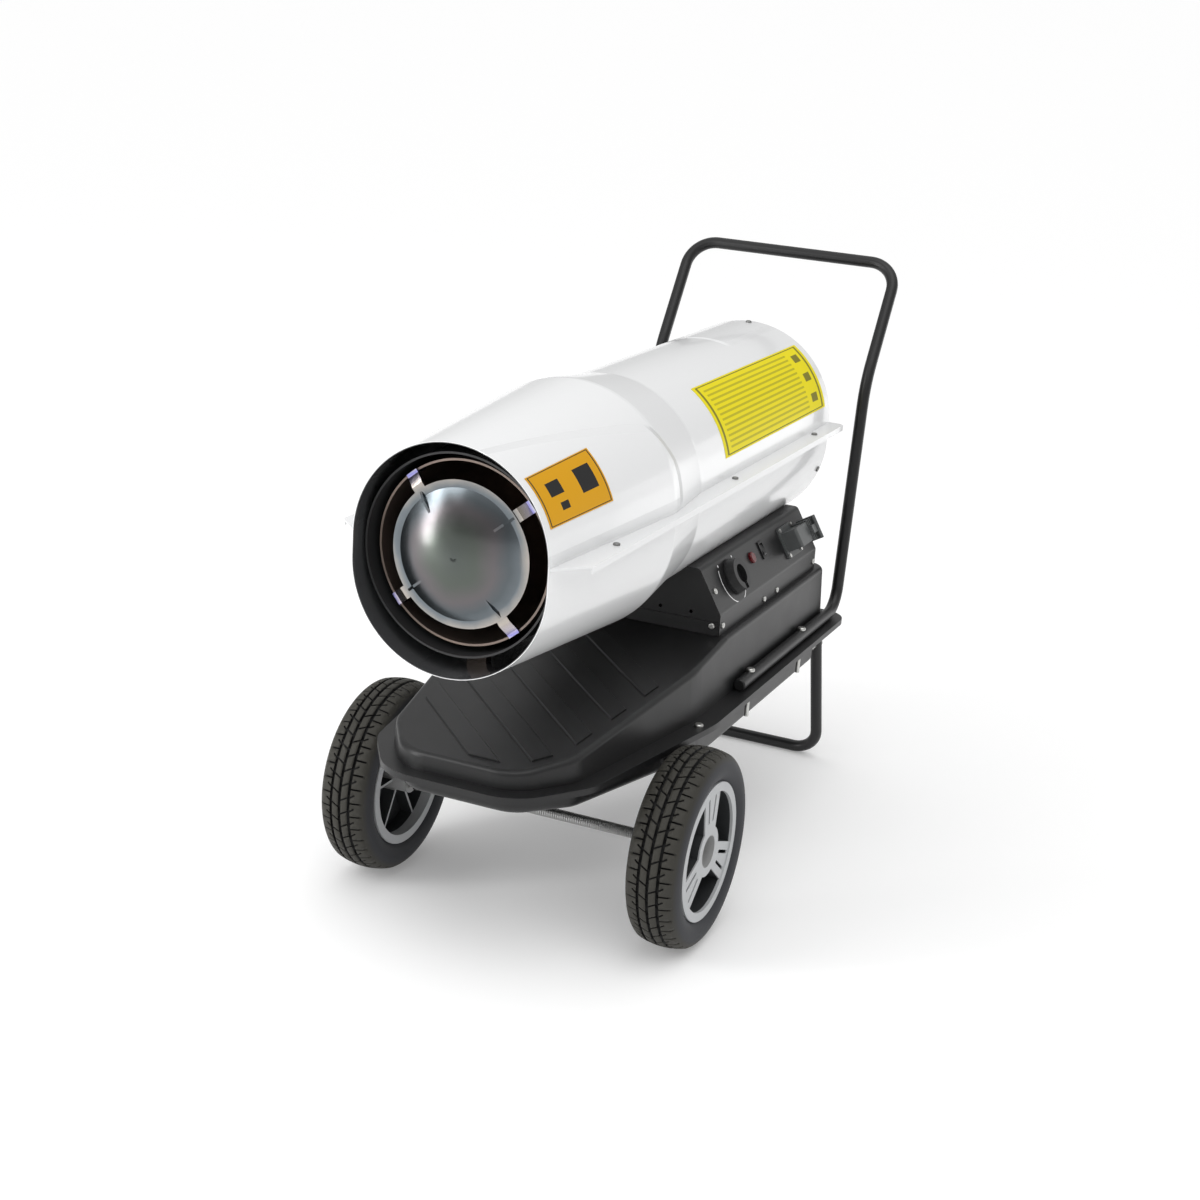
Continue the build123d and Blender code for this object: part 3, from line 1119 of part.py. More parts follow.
def barrel_section(inset):
    """Inside section of the parallel rear part of the barrel."""
    r = TAIL_RADIUS - SHELL_SHEET - inset
    upper = Pos(0, SPLIT_Z) * Circle(r)
    lower = Pos(0, LOWER_AXIS_Z) * Circle(r)
    return upper + lower + Pos(0, (SPLIT_Z + LOWER_AXIS_Z) / 2) * Rectangle(2 * r, SIDE_DROP)


def motor_body():
    """Finned motor case with bearing bosses and two feet."""
    case = Circle(MOTOR_RADIUS)
    for i in range(MOTOR_FINS):
        notch = Pos(MOTOR_RADIUS, 0) * Rectangle(2 * MOTOR_FIN_DEPTH, 5)
        case -= Rot(Z=i * 360 / MOTOR_FINS) * notch
    body = along_y(Pos(0, BURNER_Z) * case, MOTOR_Y + 10, PUMP_Y - 10)
    body += tube_y(MOTOR_RADIUS - MOTOR_FIN_DEPTH, 0, MOTOR_Y, PUMP_Y)
    body += tube_y(BEARING_BOSS_RADIUS, 0, MOTOR_Y - BEARING_BOSS_LENGTH, MOTOR_Y)
    return body - tube_y(SHAFT_DIA / 2 + SHAFT_FIT, 0, MOTOR_Y - 50, PUMP_Y + 50)


def motor_shaft():
    rear = PUMP_Y + PUMP_LENGTH - 3
    front = FAN_Y - FAN_HUB_LENGTH / 2 - 6
    return tube_y(SHAFT_DIA / 2, 0, front, rear)


def motor_pedestal():
    """Bent plate from the lower shell's bottom up to the motor's belly."""
    low = LOWER_AXIS_Z - TAIL_RADIUS + SHELL_SHEET
    y0, y1 = MOTOR_Y + 16, PUMP_Y - 16
    half = MOTOR_RADIUS * 0.75
    outline = make_face(Polyline((-half, BURNER_Z), (half, BURNER_Z), (half * 1.1, low), (-half * 1.1, low),
                                 close=True))
    outline = outline & (Pos(0, LOWER_AXIS_Z) * Circle(TAIL_RADIUS - SHELL_SHEET))
    inner = offset(outline, -BOX_SHEET)
    inner = inner - Pos(0, low) * Rectangle(half * 4, 30)
    inner = inner & Pos(0, BURNER_Z - MOTOR_RADIUS - 60) * Rectangle(half * 4, 112)
    frame = outline - inner - Pos(0, BURNER_Z) * Circle(MOTOR_RADIUS)
    return along_y(frame, y0, y0 + 14) + along_y(frame, y1 - 14, y1)


def air_pump():
    """Round pump body on the motor's rear, with an off-centre bore for the rotor."""
    body = tube_y(PUMP_RADIUS, 0, PUMP_Y, PUMP_Y + PUMP_LENGTH)
    bore = tube_y(ROTOR_RADIUS + ROTOR_OFFSET + 0.2, 0, PUMP_Y + 4, PUMP_Y + PUMP_LENGTH + 1,
                  BURNER_Z - ROTOR_OFFSET)
    body -= bore
    body -= tube_y(SHAFT_DIA / 2 + SHAFT_FIT, 0, PUMP_Y - 1, PUMP_Y + PUMP_LENGTH)
    port = rod_x(PORT_RADIUS, PUMP_RADIUS - 6, PUMP_RADIUS + 10, PUMP_Y + PUMP_LENGTH / 2, BURNER_Z)
    return body + port


def pump_rotor():
    """Carbon rotor with vane slots, fixed to the motor shaft."""
    y0, y1 = PUMP_Y + 4 + 0.3, PUMP_Y + PUMP_LENGTH - 0.3
    rotor = tube_y(ROTOR_RADIUS, SHAFT_DIA / 2, y0, y1, 0)
    for i in range(ROTOR_SLOTS):
        slot = block((ROTOR_RADIUS - 12, ROTOR_RADIUS + 1), (y0 - 1, y1 + 1), (-1.5, 1.5))
        rotor -= Rot(Y=45 + i * 360 / ROTOR_SLOTS) * slot
    return Pos(0, 0, BURNER_Z) * rotor


def pump_cover():
    """End cover with the pressure screw and the filter's round housing."""
    y = PUMP_Y + PUMP_LENGTH
    cover = tube_y(PUMP_RADIUS, 0, y, y + PUMP_COVER_LENGTH)
    cover = fillet(cover.faces().sort_by(Axis.Y)[-1].edges(), 3)
    screw = tube_y(5, 0, y + PUMP_COVER_LENGTH, y + PUMP_COVER_LENGTH + 8, BURNER_Z, PUMP_RADIUS * 0.5)
    return cover + screw


def rear_grille():
    """Guard over the air intake: rings on four arms, inside a band that is screwed to the shells."""
    y = REAR_Y - GRILLE_SETBACK
    half = GRILLE_WIRE / 2
    arms = barrel_section(SHELL_GAP) & Pos(0, BURNER_Z) * (
        Rectangle(GRILLE_ARM_WIDTH, 4 * TAIL_RADIUS) + Rectangle(4 * TAIL_RADIUS, GRILLE_ARM_WIDTH))
    guard = along_y(arms, y - half, y + half)
    guard += tube_y(GRILLE_HUB_RADIUS, 0, y - half, y + half)
    step = (TAIL_RADIUS - SIDE_DROP / 2 - GRILLE_HUB_RADIUS) / GRILLE_RINGS
    for i in range(1, GRILLE_RINGS):
        radius = GRILLE_HUB_RADIUS + i * step
        guard += tube_y(radius + half, radius - half, y - half, y + half)
    band = barrel_section(SHELL_GAP) - barrel_section(SHELL_GAP + BOX_SHEET)
    guard += along_y(band, y - GRILLE_BAND / 2, y + GRILLE_BAND / 2)
    for hole in shell_screw_holes():
        guard -= hole
    return guard


def air_hose():
    """Hose from the pump's port forward to the nozzle adapter."""
    x0 = PUMP_RADIUS + 10
    y0 = PUMP_Y + PUMP_LENGTH / 2
    x1 = ADAPTER_SIZE / 2 + PORT_LENGTH
    y1 = HEAD_REAR_Y + ADAPTER_LENGTH / 2
    side = TAIL_RADIUS - SHELL_SHEET - HOSE_DIA / 2 - 1.5
    low = LOWER_AXIS_Z
    points = [(x0, y0, BURNER_Z), (side - 16, y0, BURNER_Z), (side, y0 - 30, low), (side, y1 + 34, low),
              (side - 30, y1, BURNER_Z), (x1, y1, BURNER_Z)]
    path = FilletPolyline(*points, radius=[12, 20, 24, 18])
    start = Plane(origin=path @ 0, z_dir=path % 0)
    return sweep(start * Circle(HOSE_DIA / 2), path=path)


# ---------------------------------------------------------------- supports and control box
def box_outline():
    """Section of the control box as seen from the front, below the barrel."""
    side_top = TANK_TOP_Z + BOX_SIDE_HEIGHT
    right = [(BOX_HALF_WIDTH, TANK_TOP_Z), (BOX_HALF_WIDTH, side_top), (PANEL_TOP_HALF_WIDTH, PANEL_TOP_Z)]
    left = [(-x, z) for x, z in reversed(right)]
    face = make_face(Polyline(*right, *left, close=True))
    bends = face.vertices().filter_by(lambda v: v.Y > TANK_TOP_Z + 1)
    return fillet(bends, BOX_BEND_RADIUS)


def barrel_hole(gap):
    return Pos(0, LOWER_AXIS_Z) * Circle(TAIL_RADIUS + gap)


def support_plate(y0, foot_way):
    """Upright plate between the tank and the barrel, its top cut to the barrel's round."""
    face = box_outline() - barrel_hole(0)
    plate = along_y(face, y0, y0 + PLATE_SHEET)
    foot = block((-BOX_HALF_WIDTH, BOX_HALF_WIDTH), sorted((y0, y0 + foot_way * PLATE_FOOT)),
                 (TANK_TOP_Z, TANK_TOP_Z + PLATE_SHEET))
    return plate + foot


def front_support():
    """Front plate with a doubling strip along its foot and two holes for a cable clip."""
    plate = support_plate(BOX_Y, 1)
    plate += block((-BOX_HALF_WIDTH, BOX_HALF_WIDTH), (BOX_Y - PLATE_STRIP_THICK, BOX_Y),
                   (TANK_TOP_Z, TANK_TOP_Z + PLATE_STRIP_HEIGHT))
    for x in (PLATE_HOLE_SIDE - PLATE_HOLE_SPACING / 2, PLATE_HOLE_SIDE + PLATE_HOLE_SPACING / 2):
        plate -= tube_y(PLATE_HOLE_DIA / 2, 0, BOX_Y - 1, BOX_Y + PLATE_SHEET + 1, PLATE_HOLE_Z, x)
    return plate


def rear_support():
    return support_plate(BOX_Y + BOX_LENGTH - PLATE_SHEET, -1)


def box_skin():
    """Bent sheet over both sides: upright foot, sloping panel and a strip up to the barrel."""
    outer = offset(box_outline(), BOX_SHEET)
    skin = outer - box_outline() - barrel_hole(SHELL_GAP)
    far = 2 * BOX_HALF_WIDTH
    skin = skin - Pos(0, TANK_TOP_Z - far / 2) * Rectangle(2 * far, far)
    return along_y(skin, BOX_Y, BOX_Y + BOX_LENGTH)


def panel_plane(at, rise=BOX_SHEET):
    """Frame on the sloping panel: x along +Y, y up the slope, z out of the panel."""
    station, height = at
    low = Vector(BOX_HALF_WIDTH, BOX_Y + station, TANK_TOP_Z + BOX_SIDE_HEIGHT)
    top = Vector(PANEL_TOP_HALF_WIDTH, BOX_Y + station, PANEL_TOP_Z)
    up = (top - low).normalized()
    out = Vector(0, 1, 0).cross(up)
    return Plane(origin=low + up * height + out * rise, x_dir=(0, 1, 0), z_dir=out)


def on_panel(sketch, at, start, stop):
    plane = panel_plane(at).offset(start)
    return extrude(plane * sketch, stop - start)


def control_cover():
    """Right-hand cover with the panel cut-outs."""
    cover = box_skin() & block((0, TANK_WIDTH), (BOX_Y, BOX_Y + BOX_LENGTH), (TANK_TOP_Z, BURNER_Z))
    cover -= on_panel(Circle(KNOB_STEM_DIA / 2 + 1), KNOB_AT, -PANEL_CUT, PANEL_CUT)
    cover -= on_panel(Circle(LAMP_DIA / 2 - 1.5), LAMP_AT, -PANEL_CUT, PANEL_CUT)
    cover -= on_panel(Rectangle(SWITCH_WIDTH - 3, SWITCH_HEIGHT - 3), SWITCH_AT, -PANEL_CUT, PANEL_CUT)
    cover -= on_panel(Rectangle(SOCKET_BODY[0] * 0.8, SOCKET_BODY[1] * 0.8), SOCKET_AT, -PANEL_CUT, PANEL_CUT)
    return cover


def side_cover():
    """Plain cover on the left-hand side."""
    return box_skin() & block((-TANK_WIDTH, 0), (BOX_Y, BOX_Y + BOX_LENGTH), (TANK_TOP_Z, BURNER_Z))


def box_screws():
    """Domed screw heads on the covers' feet, on the panel and on the front strip."""
    def head(x, y, z, plane_z):
        disc = Plane(origin=(x, y, z), z_dir=plane_z) * Circle(SCREW_HEAD_DIA / 2)
        shape = extrude(disc, SCREW_HEAD_HEIGHT)
        far = shape.faces().sort_by_distance(Vector(x, y, z) + Vector(*plane_z) * SCREW_HEAD_DIA)[0]
        return fillet(far.edges(), SCREW_HEAD_HEIGHT * 0.6)

    pieces = [head(BOX_HALF_WIDTH + BOX_SHEET, BOX_Y + station, TANK_TOP_Z + height, (1, 0, 0))
              for station, height in BOX_SCREWS]
    side, height = PLATE_SCREW_AT
    pieces.append(head(side, BOX_Y - PLATE_STRIP_THICK, TANK_TOP_Z + height, (0, -1, 0)))
    panel = panel_plane(PANEL_SCREW_AT)
    pieces.append(head(*panel.origin, tuple(panel.z_dir)))
    return both_sides(pieces)


def thermostat():
    """Switch block behind the panel, its hollow spindle through the cover."""
    size = THERMOSTAT_SIZE
    body = on_panel(RectangleRounded(size, size, 4), KNOB_AT, -BOX_SHEET - THERMOSTAT_DEPTH, -BOX_SHEET)
    return body - on_panel(Circle(KNOB_STEM_DIA / 2 + PIN_FIT), KNOB_AT, -BOX_SHEET - 8, 1)


def thermostat_knob():
    """Round knob with a dished centre and a pointer notch, on the thermostat's spindle."""
    low = LID_GAP
    top = low + KNOB_HEIGHT
    knob = on_panel(Circle(KNOB_DIA / 2), KNOB_AT, low, low + KNOB_SKIRT)
    base = panel_plane(KNOB_AT).offset(low + KNOB_SKIRT)
    crown = base.offset(KNOB_HEIGHT - KNOB_SKIRT)
    knob += loft([base * Circle(KNOB_DIA / 2 - 1), crown * Circle(KNOB_TOP_DIA / 2)])
    knob -= on_panel(Circle(KNOB_DISH_DIA / 2), KNOB_AT, top - KNOB_DISH_DEPTH, top + 1)
    notch = Pos(0, -KNOB_DIA / 4) * Rectangle(KNOB_NOTCH_WIDTH, KNOB_DIA / 2)
    knob -= on_panel(notch, KNOB_AT, top - KNOB_NOTCH_DEPTH, top + 1)
    return knob + on_panel(Circle(KNOB_STEM_DIA / 2), KNOB_AT, -BOX_SHEET - 7, low + 1)


def pilot_lamp():
    """Red lens on a round body that snaps into the panel."""
    lens = on_panel(Circle(LAMP_DIA / 2), LAMP_AT, 0, LAMP_RISE)
    far = lens.faces().sort_by_distance(panel_plane(LAMP_AT).offset(LAMP_RISE + 20).origin)[0]
    lens = fillet(far.edges(), LAMP_RISE * 0.5)
    return lens + on_panel(Circle(LAMP_DIA / 2 - 1.6), LAMP_AT, -LAMP_BODY_LENGTH, 0.5)


def socket_box(x, y, z):
    """A box on the panel: ranges along the box, up the slope and out of the panel, from SOCKET_AT."""
    (x0, x1), (y0, y1), (z0, z1) = x, y, z
    return on_panel(Pos((x0 + x1) / 2, (y0 + y1) / 2) * Rectangle(x1 - x0, y1 - y0), SOCKET_AT, z0, z1)


MOUTH = SOCKET_BODY[0] / 2          # the housing's body ends and the collar begins
MOUTH_END = MOUTH + SOCKET_COLLAR
COLLAR_HALF = SOCKET_BODY[1] / 2 + SOCKET_COLLAR_STEP
COLLAR_TOP = SOCKET_RISE + SOCKET_COLLAR_STEP
HINGE_X = MOUTH_END + 1.0
HINGE_RISE = COLLAR_TOP + KNUCKLE_DIA / 2 + 1.0


def knuckle(radius, y0, y1):
    """Round bar on the lid's hinge line, from y0 to y1 up the slope."""
    plane = panel_plane(SOCKET_AT)
    origin = plane.origin + plane.x_dir * HINGE_X + plane.z_dir * HINGE_RISE + plane.y_dir * y0
    return extrude(Plane(origin=origin, z_dir=plane.y_dir) * Circle(radius), y1 - y0)


def socket_screw_places():
    x, y = (side / 2 - SOCKET_SCREW_EDGE for side in SOCKET_FLANGE)
    return [(side_x * x, side_y * y) for side_x in (-1, 1) for side_y in (-1, 1)]


def socket_housing():
    """Power inlet: flange, housing whose mouth faces the rear, ribbed collar and hinge knuckle."""
    flange = on_panel(RectangleRounded(*SOCKET_FLANGE, 5), SOCKET_AT, 0, SOCKET_FLANGE_THICK)
    for place in socket_screw_places():
        flange -= on_panel(Pos(*place) * Circle(SOCKET_SCREW_DIA / 2), SOCKET_AT, -1, SOCKET_FLANGE_THICK + 1)
    half = SOCKET_BODY[1] / 2
    body = socket_box((-MOUTH, MOUTH), (-half, half), (0, SOCKET_RISE))
    front = body.edges().filter_by(lambda e: abs((e @ 0.5).Y - panel_plane(SOCKET_AT).origin.Y + MOUTH) < 0.1)
    body = fillet(front.sort_by(Axis.X)[-1:], 4)
    body += socket_box((MOUTH, MOUTH_END), (-COLLAR_HALF, COLLAR_HALF), (0, COLLAR_TOP))
    pitch = SOCKET_COLLAR / SOCKET_RIBS
    for i in range(SOCKET_RIBS):
        x = MOUTH + (i + 0.5) * pitch
        wide, high = COLLAR_HALF + 1, COLLAR_TOP + 1
        ring = socket_box((x - pitch / 4, x + pitch / 4), (-wide, wide), (0, high))
        body -= ring - socket_box((x - pitch, x + pitch), (-half, half), (-1, SOCKET_RISE))
    inner = half - SOCKET_WALL
    body -= socket_box((SOCKET_WALL - MOUTH, MOUTH_END + 1), (-inner, inner),
                       (SOCKET_WALL + 2, SOCKET_RISE - SOCKET_WALL))
    barrel = KNUCKLE_LENGTH / 2
    web = socket_box((MOUTH + 1, MOUTH_END), (-barrel, barrel), (SOCKET_RISE, HINGE_RISE))
    arm = web + knuckle(KNUCKLE_DIA / 2, -barrel, barrel)
    reach = COLLAR_HALF - LID_MARGIN
    return flange + body + arm + knuckle(LID_PIN_DIA / 2, -reach, reach)


def socket_contacts():
    """Three round contacts on the recess's end wall."""
    plane = panel_plane(SOCKET_AT)
    depth = (SOCKET_WALL + 2 + SOCKET_RISE - SOCKET_WALL) / 2
    pieces = []
    for i in (-1, 0, 1):
        origin = plane.origin + plane.x_dir * (SOCKET_WALL - MOUTH) + plane.z_dir * (depth + 1 - 2 * abs(i))
        origin += plane.y_dir * (i * CONTACT_SPACING)
        pin = extrude(Plane(origin=origin, z_dir=plane.x_dir) * Circle(CONTACT_DIA / 2), CONTACT_LENGTH)
        pieces += pin.solids()
    return pieces


def socket_lid():
    """Hinged lid over the inlet's mouth, with a raised block for the finger."""
    x0 = MOUTH_END + LID_GAP
    half = COLLAR_HALF + LID_MARGIN
    low = SOCKET_FLANGE_THICK + SOCKET_SCREW_HEAD + LID_GAP
    lid = socket_box((x0, x0 + LID_THICK), (-half, half), (low, HINGE_RISE))
    lid += knuckle(KNUCKLE_DIA / 2, -half, half)
    block_half = half * LID_BLOCK_WIDTH
    lid += socket_box((x0 + LID_THICK, x0 + LID_THICK + LID_BLOCK), (-block_half, block_half),
                      (low + LID_BLOCK_EDGE, COLLAR_TOP - LID_BLOCK_EDGE))
    gap = KNUCKLE_LENGTH / 2 + LID_GAP
    bearing = KNUCKLE_DIA / 2 + LID_GAP
    lid -= knuckle(bearing, -gap, gap)
    lid -= socket_box((HINGE_X - bearing, x0 + LID_THICK + 5), (-gap, gap),
                      (HINGE_RISE - bearing, HINGE_RISE + bearing))
    return lid - knuckle(LID_PIN_DIA / 2 + PIN_FIT, -half - 1, half + 1)


def socket_screws():
    pieces = []
    for place in socket_screw_places():
        head = on_panel(Pos(*place) * Circle(SOCKET_SCREW_DIA * 0.85), SOCKET_AT, SOCKET_FLANGE_THICK,
                        SOCKET_FLANGE_THICK + SOCKET_SCREW_HEAD)
        shank = on_panel(Pos(*place) * Circle(SOCKET_SCREW_DIA / 2), SOCKET_AT, 0, SOCKET_FLANGE_THICK)
        pieces += (head + shank).solids()
    return pieces


def switch_body():
    """Bezel and housing of the power switch, with a recess for the rocker."""
    outer = Rectangle(SWITCH_WIDTH, SWITCH_HEIGHT)
    inner = Rectangle(SWITCH_WIDTH - 2 * SWITCH_BORDER, SWITCH_HEIGHT - 2 * SWITCH_BORDER)
    case = Rectangle(SWITCH_WIDTH - 3.4, SWITCH_HEIGHT - 3.4)
    body = on_panel(outer, SWITCH_AT, 0, SWITCH_BEZEL) + on_panel(case, SWITCH_AT, -SWITCH_DEPTH, 0)
    body -= on_panel(inner, SWITCH_AT, -8, SWITCH_BEZEL + 1)
    return body - rocker_pivot(ROCKER_PIVOT + PIN_FIT, SWITCH_WIDTH / 2 - SWITCH_BORDER + 1)


def rocker_pivot(radius, half):
    plane = panel_plane(SWITCH_AT, BOX_SHEET - ROCKER_PIVOT)
    return extrude(Plane(origin=plane.origin, z_dir=plane.x_dir) * Circle(radius), half, both=True)


def rocker():
    """Rocker with a dished top, tipped to its off side about a pivot along the box."""
    half = SWITCH_HEIGHT / 2 - SWITCH_BORDER - ROCKER_GAP
    width = SWITCH_WIDTH - 2 * SWITCH_BORDER - 2 * ROCKER_GAP
    top_half, low_half = half * 0.86, half * 0.75
    low = -2 * ROCKER_PIVOT
    top = ROCKER_RISE
    plane = panel_plane(SWITCH_AT)
    side = Plane(origin=plane.origin - plane.x_dir * width / 2, x_dir=plane.y_dir, z_dir=-plane.x_dir)
    shape = make_face(Wire([
        ThreePointArc((-top_half, top), (0, top - 1), (top_half, top)),
        Line((top_half, top), (half, 0)), Line((half, 0), (low_half, low)),
        Line((low_half, low), (-low_half, low)), Line((-low_half, low), (-half, 0)),
        Line((-half, 0), (-top_half, top)),
    ]))
    body = extrude(side * shape, -width)
    body += rocker_pivot(ROCKER_PIVOT, width / 2 + 0.8)
    pivot = panel_plane(SWITCH_AT, BOX_SHEET - ROCKER_PIVOT)
    return body.rotate(Axis(pivot.origin, pivot.x_dir), -ROCKER_SWING)


# ---------------------------------------------------------------- inside the box
def circuit_board():
    """Control board on four posts, with its relay and two tall components."""
    length, width, thick = CIRCUIT_BOARD
    post_side, post_end = BOARD_POST_EDGE
    y, z = BOX_Y + BOARD_STATION, TANK_TOP_Z + BOARD_POST_HEIGHT
    top = z + thick
    board = block((-width / 2, width / 2), (y, y + length), (z, top))
    for side in (-1, 1):
        for end in (post_end, length - post_end):
            board += rod_z(post_side / 2, TANK_TOP_Z, z, side * (width / 2 - post_side), y + end)
    relay_width, relay_length, relay_height = RELAY
    board += block((-relay_width, 0), (y + relay_height, y + relay_height + relay_length),
                   (top, top + relay_height))
    for i in (2, 3):
        board += rod_z(CAPACITOR_DIA / 2, top, top + CAPACITOR_HEIGHT, CAPACITOR_DIA, y + i * length / 4)
    return board


def ignition_transformer():
    """Potted block with two high-voltage posts."""
    length, width, height = TRANSFORMER
    x, y = -BOX_HALF_WIDTH + TRANSFORMER_INSET, BOX_Y + TRANSFORMER_STATION
    body = block((x, x + width), (y, y + length), (TANK_TOP_Z, TANK_TOP_Z + height))
    body = fillet(body.edges().filter_by(Axis.Z), 4)
    for place in (width / 4, 3 * width / 4):
        body += tube_y(5, 0, y - TRANSFORMER_POST, y, TANK_TOP_Z + height / 2, x + place)
    return body


def fuel_filter():
    """Suction pipe with a round filter head on the tank's top."""
    x, y = -FILTER_SIDE, AXLE_Y + FUEL_LINE_BEHIND
    pipe = rod_z(FUEL_PIPE_DIA / 2, PAN_BOTTOM_Z + 12, TANK_TOP_Z, x, y)
    head = rod_z(FILTER_DIA / 2, TANK_TOP_Z, TANK_TOP_Z + FILTER_HEIGHT, x, y)
    head = fillet(head.faces().sort_by(Axis.Z)[-1].edges(), 3)
    port = rod_x(HOSE_DIA / 2 + 1, x, x + FILTER_DIA / 2 + 8, y, FUEL_PORT_Z)
    return pipe + head + port


def fuel_line():
    """Hose from the filter's port up through the lower shell to the nozzle block."""
    x0 = -FILTER_SIDE + FILTER_DIA / 2 + FUEL_LINE_LEAD
    y0, y1 = AXLE_Y + FUEL_LINE_BEHIND, HEAD_REAR_Y + ADAPTER_LENGTH / 2
    x1 = -(ADAPTER_SIZE / 2 + PORT_LENGTH)
    x2 = x1 - FUEL_LINE_STANDOFF
    z0, z1 = LOWER_AXIS_Z - FUEL_LINE_ENTRY_DROP, LOWER_AXIS_Z - FUEL_LINE_CROSS_DROP
    points = [(x0, y0, FUEL_PORT_Z), (-FUEL_LINE_SIDE, y0, FUEL_PORT_Z), (-FUEL_LINE_SIDE, y0, z0),
              (x2, y1, z1), (x2, y1, BURNER_Z), (x1, y1, BURNER_Z)]
    path = FilletPolyline(*points, radius=list(FUEL_LINE_BENDS))
    start = Plane(origin=path @ 0, z_dir=path % 0)
    return sweep(start * Circle(HOSE_DIA / 2), path=path)


# ---------------------------------------------------------------- save
SHARED = {
    "tank_upper": tank_upper,
    "tank_lower": tank_lower,
    "filler_neck": filler_neck,
    "filler_strainer": filler_strainer,
    "fuel_cap": fuel_cap,
    "drain_plug": drain_plug,
    "axle_brackets": axle_brackets,
    "axle": axle,
    "axle_spacers": axle_spacers,
    "axle_washers": axle_washers,
    "axle_caps": axle_caps,
    "handle_tube": handle_tube,
    "handle_end_plugs": handle_end_plugs,
    "frame_bolts": frame_bolts,
    "frame_nuts": frame_nuts,
    "foot_tube": foot_tube,
    "foot_bolts": foot_bolts,
    "upper_shell": upper_shell,
    "lower_shell": lower_shell,
    "shell_screws": shell_screws,
    "heat_shield": heat_shield,
    "combustion_chamber": combustion_chamber,
    "chamber_struts": chamber_struts,
    "flame_deflector": flame_deflector,
    "burner_head": burner_head,
    "nozzle_block": nozzle_block,
    "oil_nozzle": oil_nozzle,
    "electrodes": electrodes,
    "photocell": photocell,
    "fan": fan_rotor,
    "motor": motor_body,
    "motor_shaft": motor_shaft,
    "motor_pedestal": motor_pedestal,
    "air_pump": air_pump,
    "pump_rotor": pump_rotor,
    "pump_cover": pump_cover,
    "rear_grille": rear_grille,
    "air_hose": air_hose,
    "fuel_filter": fuel_filter,
    "fuel_line": fuel_line,
    "front_support": front_support,
    "rear_support": rear_support,
    "control_cover": control_cover,
    "side_cover": side_cover,
    "box_screws": box_screws,
    "thermostat": thermostat,
    "thermostat_knob": thermostat_knob,
    "pilot_lamp": pilot_lamp,
    "switch_body": switch_body,
    "switch_rocker": rocker,
    "inlet_housing": socket_housing,
    "inlet_contacts": socket_contacts,
    "inlet_lid": socket_lid,
    "inlet_screws": socket_screws,
    "circuit_board": circuit_board,
    "ignition_transformer": ignition_transformer,
}


def save(name, shape):
    solids = shape if isinstance(shape, list) else shape.solids()
    export_step(solids[0] if len(solids) == 1 else Compound(children=list(solids)), f"parts/{name}.step")


for name, make in SHARED.items():
    save(name, make())

for name, make in (("tyre", tyre), ("rim", rim)):
    right = on_wheel(make())
    save(f"right_{name}", right)
    save(f"left_{name}", mirrored(right))
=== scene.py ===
import math

import bpy
from mathutils import Matrix, Vector


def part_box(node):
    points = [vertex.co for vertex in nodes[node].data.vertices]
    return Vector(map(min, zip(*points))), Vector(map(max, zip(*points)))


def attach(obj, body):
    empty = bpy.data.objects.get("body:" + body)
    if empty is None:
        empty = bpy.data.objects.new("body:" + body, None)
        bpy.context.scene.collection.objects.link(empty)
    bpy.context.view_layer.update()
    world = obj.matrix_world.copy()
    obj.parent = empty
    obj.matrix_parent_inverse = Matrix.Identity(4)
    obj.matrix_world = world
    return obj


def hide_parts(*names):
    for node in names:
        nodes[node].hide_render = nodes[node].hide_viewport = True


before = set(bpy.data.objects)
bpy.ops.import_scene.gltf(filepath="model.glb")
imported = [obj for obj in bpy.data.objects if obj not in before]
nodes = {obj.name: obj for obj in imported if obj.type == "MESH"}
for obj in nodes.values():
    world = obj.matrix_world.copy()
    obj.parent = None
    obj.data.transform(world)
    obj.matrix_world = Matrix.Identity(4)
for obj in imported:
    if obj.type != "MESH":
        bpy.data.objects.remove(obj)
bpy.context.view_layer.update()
bpy.context.scene.view_settings.view_transform = "Standard"
bpy.ops.object.select_all(action="DESELECT")


# ---------------------------------------------------------------- barrel shells
# Two halves of sheet steel, stoved in gloss white enamel outside and dark within. The upper one is half
# round, the lower one a deeper U, and they are screwed together through the flat flanges at their sides.
# Shallow fields are embossed in the upper one, at its side near the hot end and along its rear top.
class Field:
    """A number that varies over a surface: a shader socket that takes ordinary arithmetic."""

    def __init__(self, finish, socket):
        self.finish = finish
        self.socket = socket

    def maths(self, operation, *values):
        return Field(self.finish, self.finish.node("ShaderNodeMath", {"operation": operation}, values))

    def __add__(self, other):
        return self.maths("ADD", self, other)

    def __sub__(self, other):
        return self.maths("SUBTRACT", self, other)

    def __rsub__(self, other):
        return self.maths("SUBTRACT", other, self)

    def __mul__(self, other):
        return self.maths("MULTIPLY", self, other)

    def __truediv__(self, other):
        return self.maths("DIVIDE", self, other)

    def __gt__(self, other):
        return self.maths("GREATER_THAN", self, other)

    def __lt__(self, other):
        return self.maths("LESS_THAN", self, other)

    def root(self):
        return self.maths("SQRT", self)

    def size(self):
        return self.maths("ABSOLUTE", self)

    def least(self, other):
        return self.maths("MINIMUM", self, other)

    def most(self, other):
        return self.maths("MAXIMUM", self, other)

    def fract(self):
        return self.maths("FRACT", self)

    def zigzag(self):
        """A triangle wave between -1 and 1, once for each whole number."""
        return (self.fract() - 0.5).size() * 4.0 - 1.0

    def step(self, width):
        """0 below zero and 1 above it, with a soft edge of this width."""
        return (self / width + 0.5).most(0.0).least(1.0)


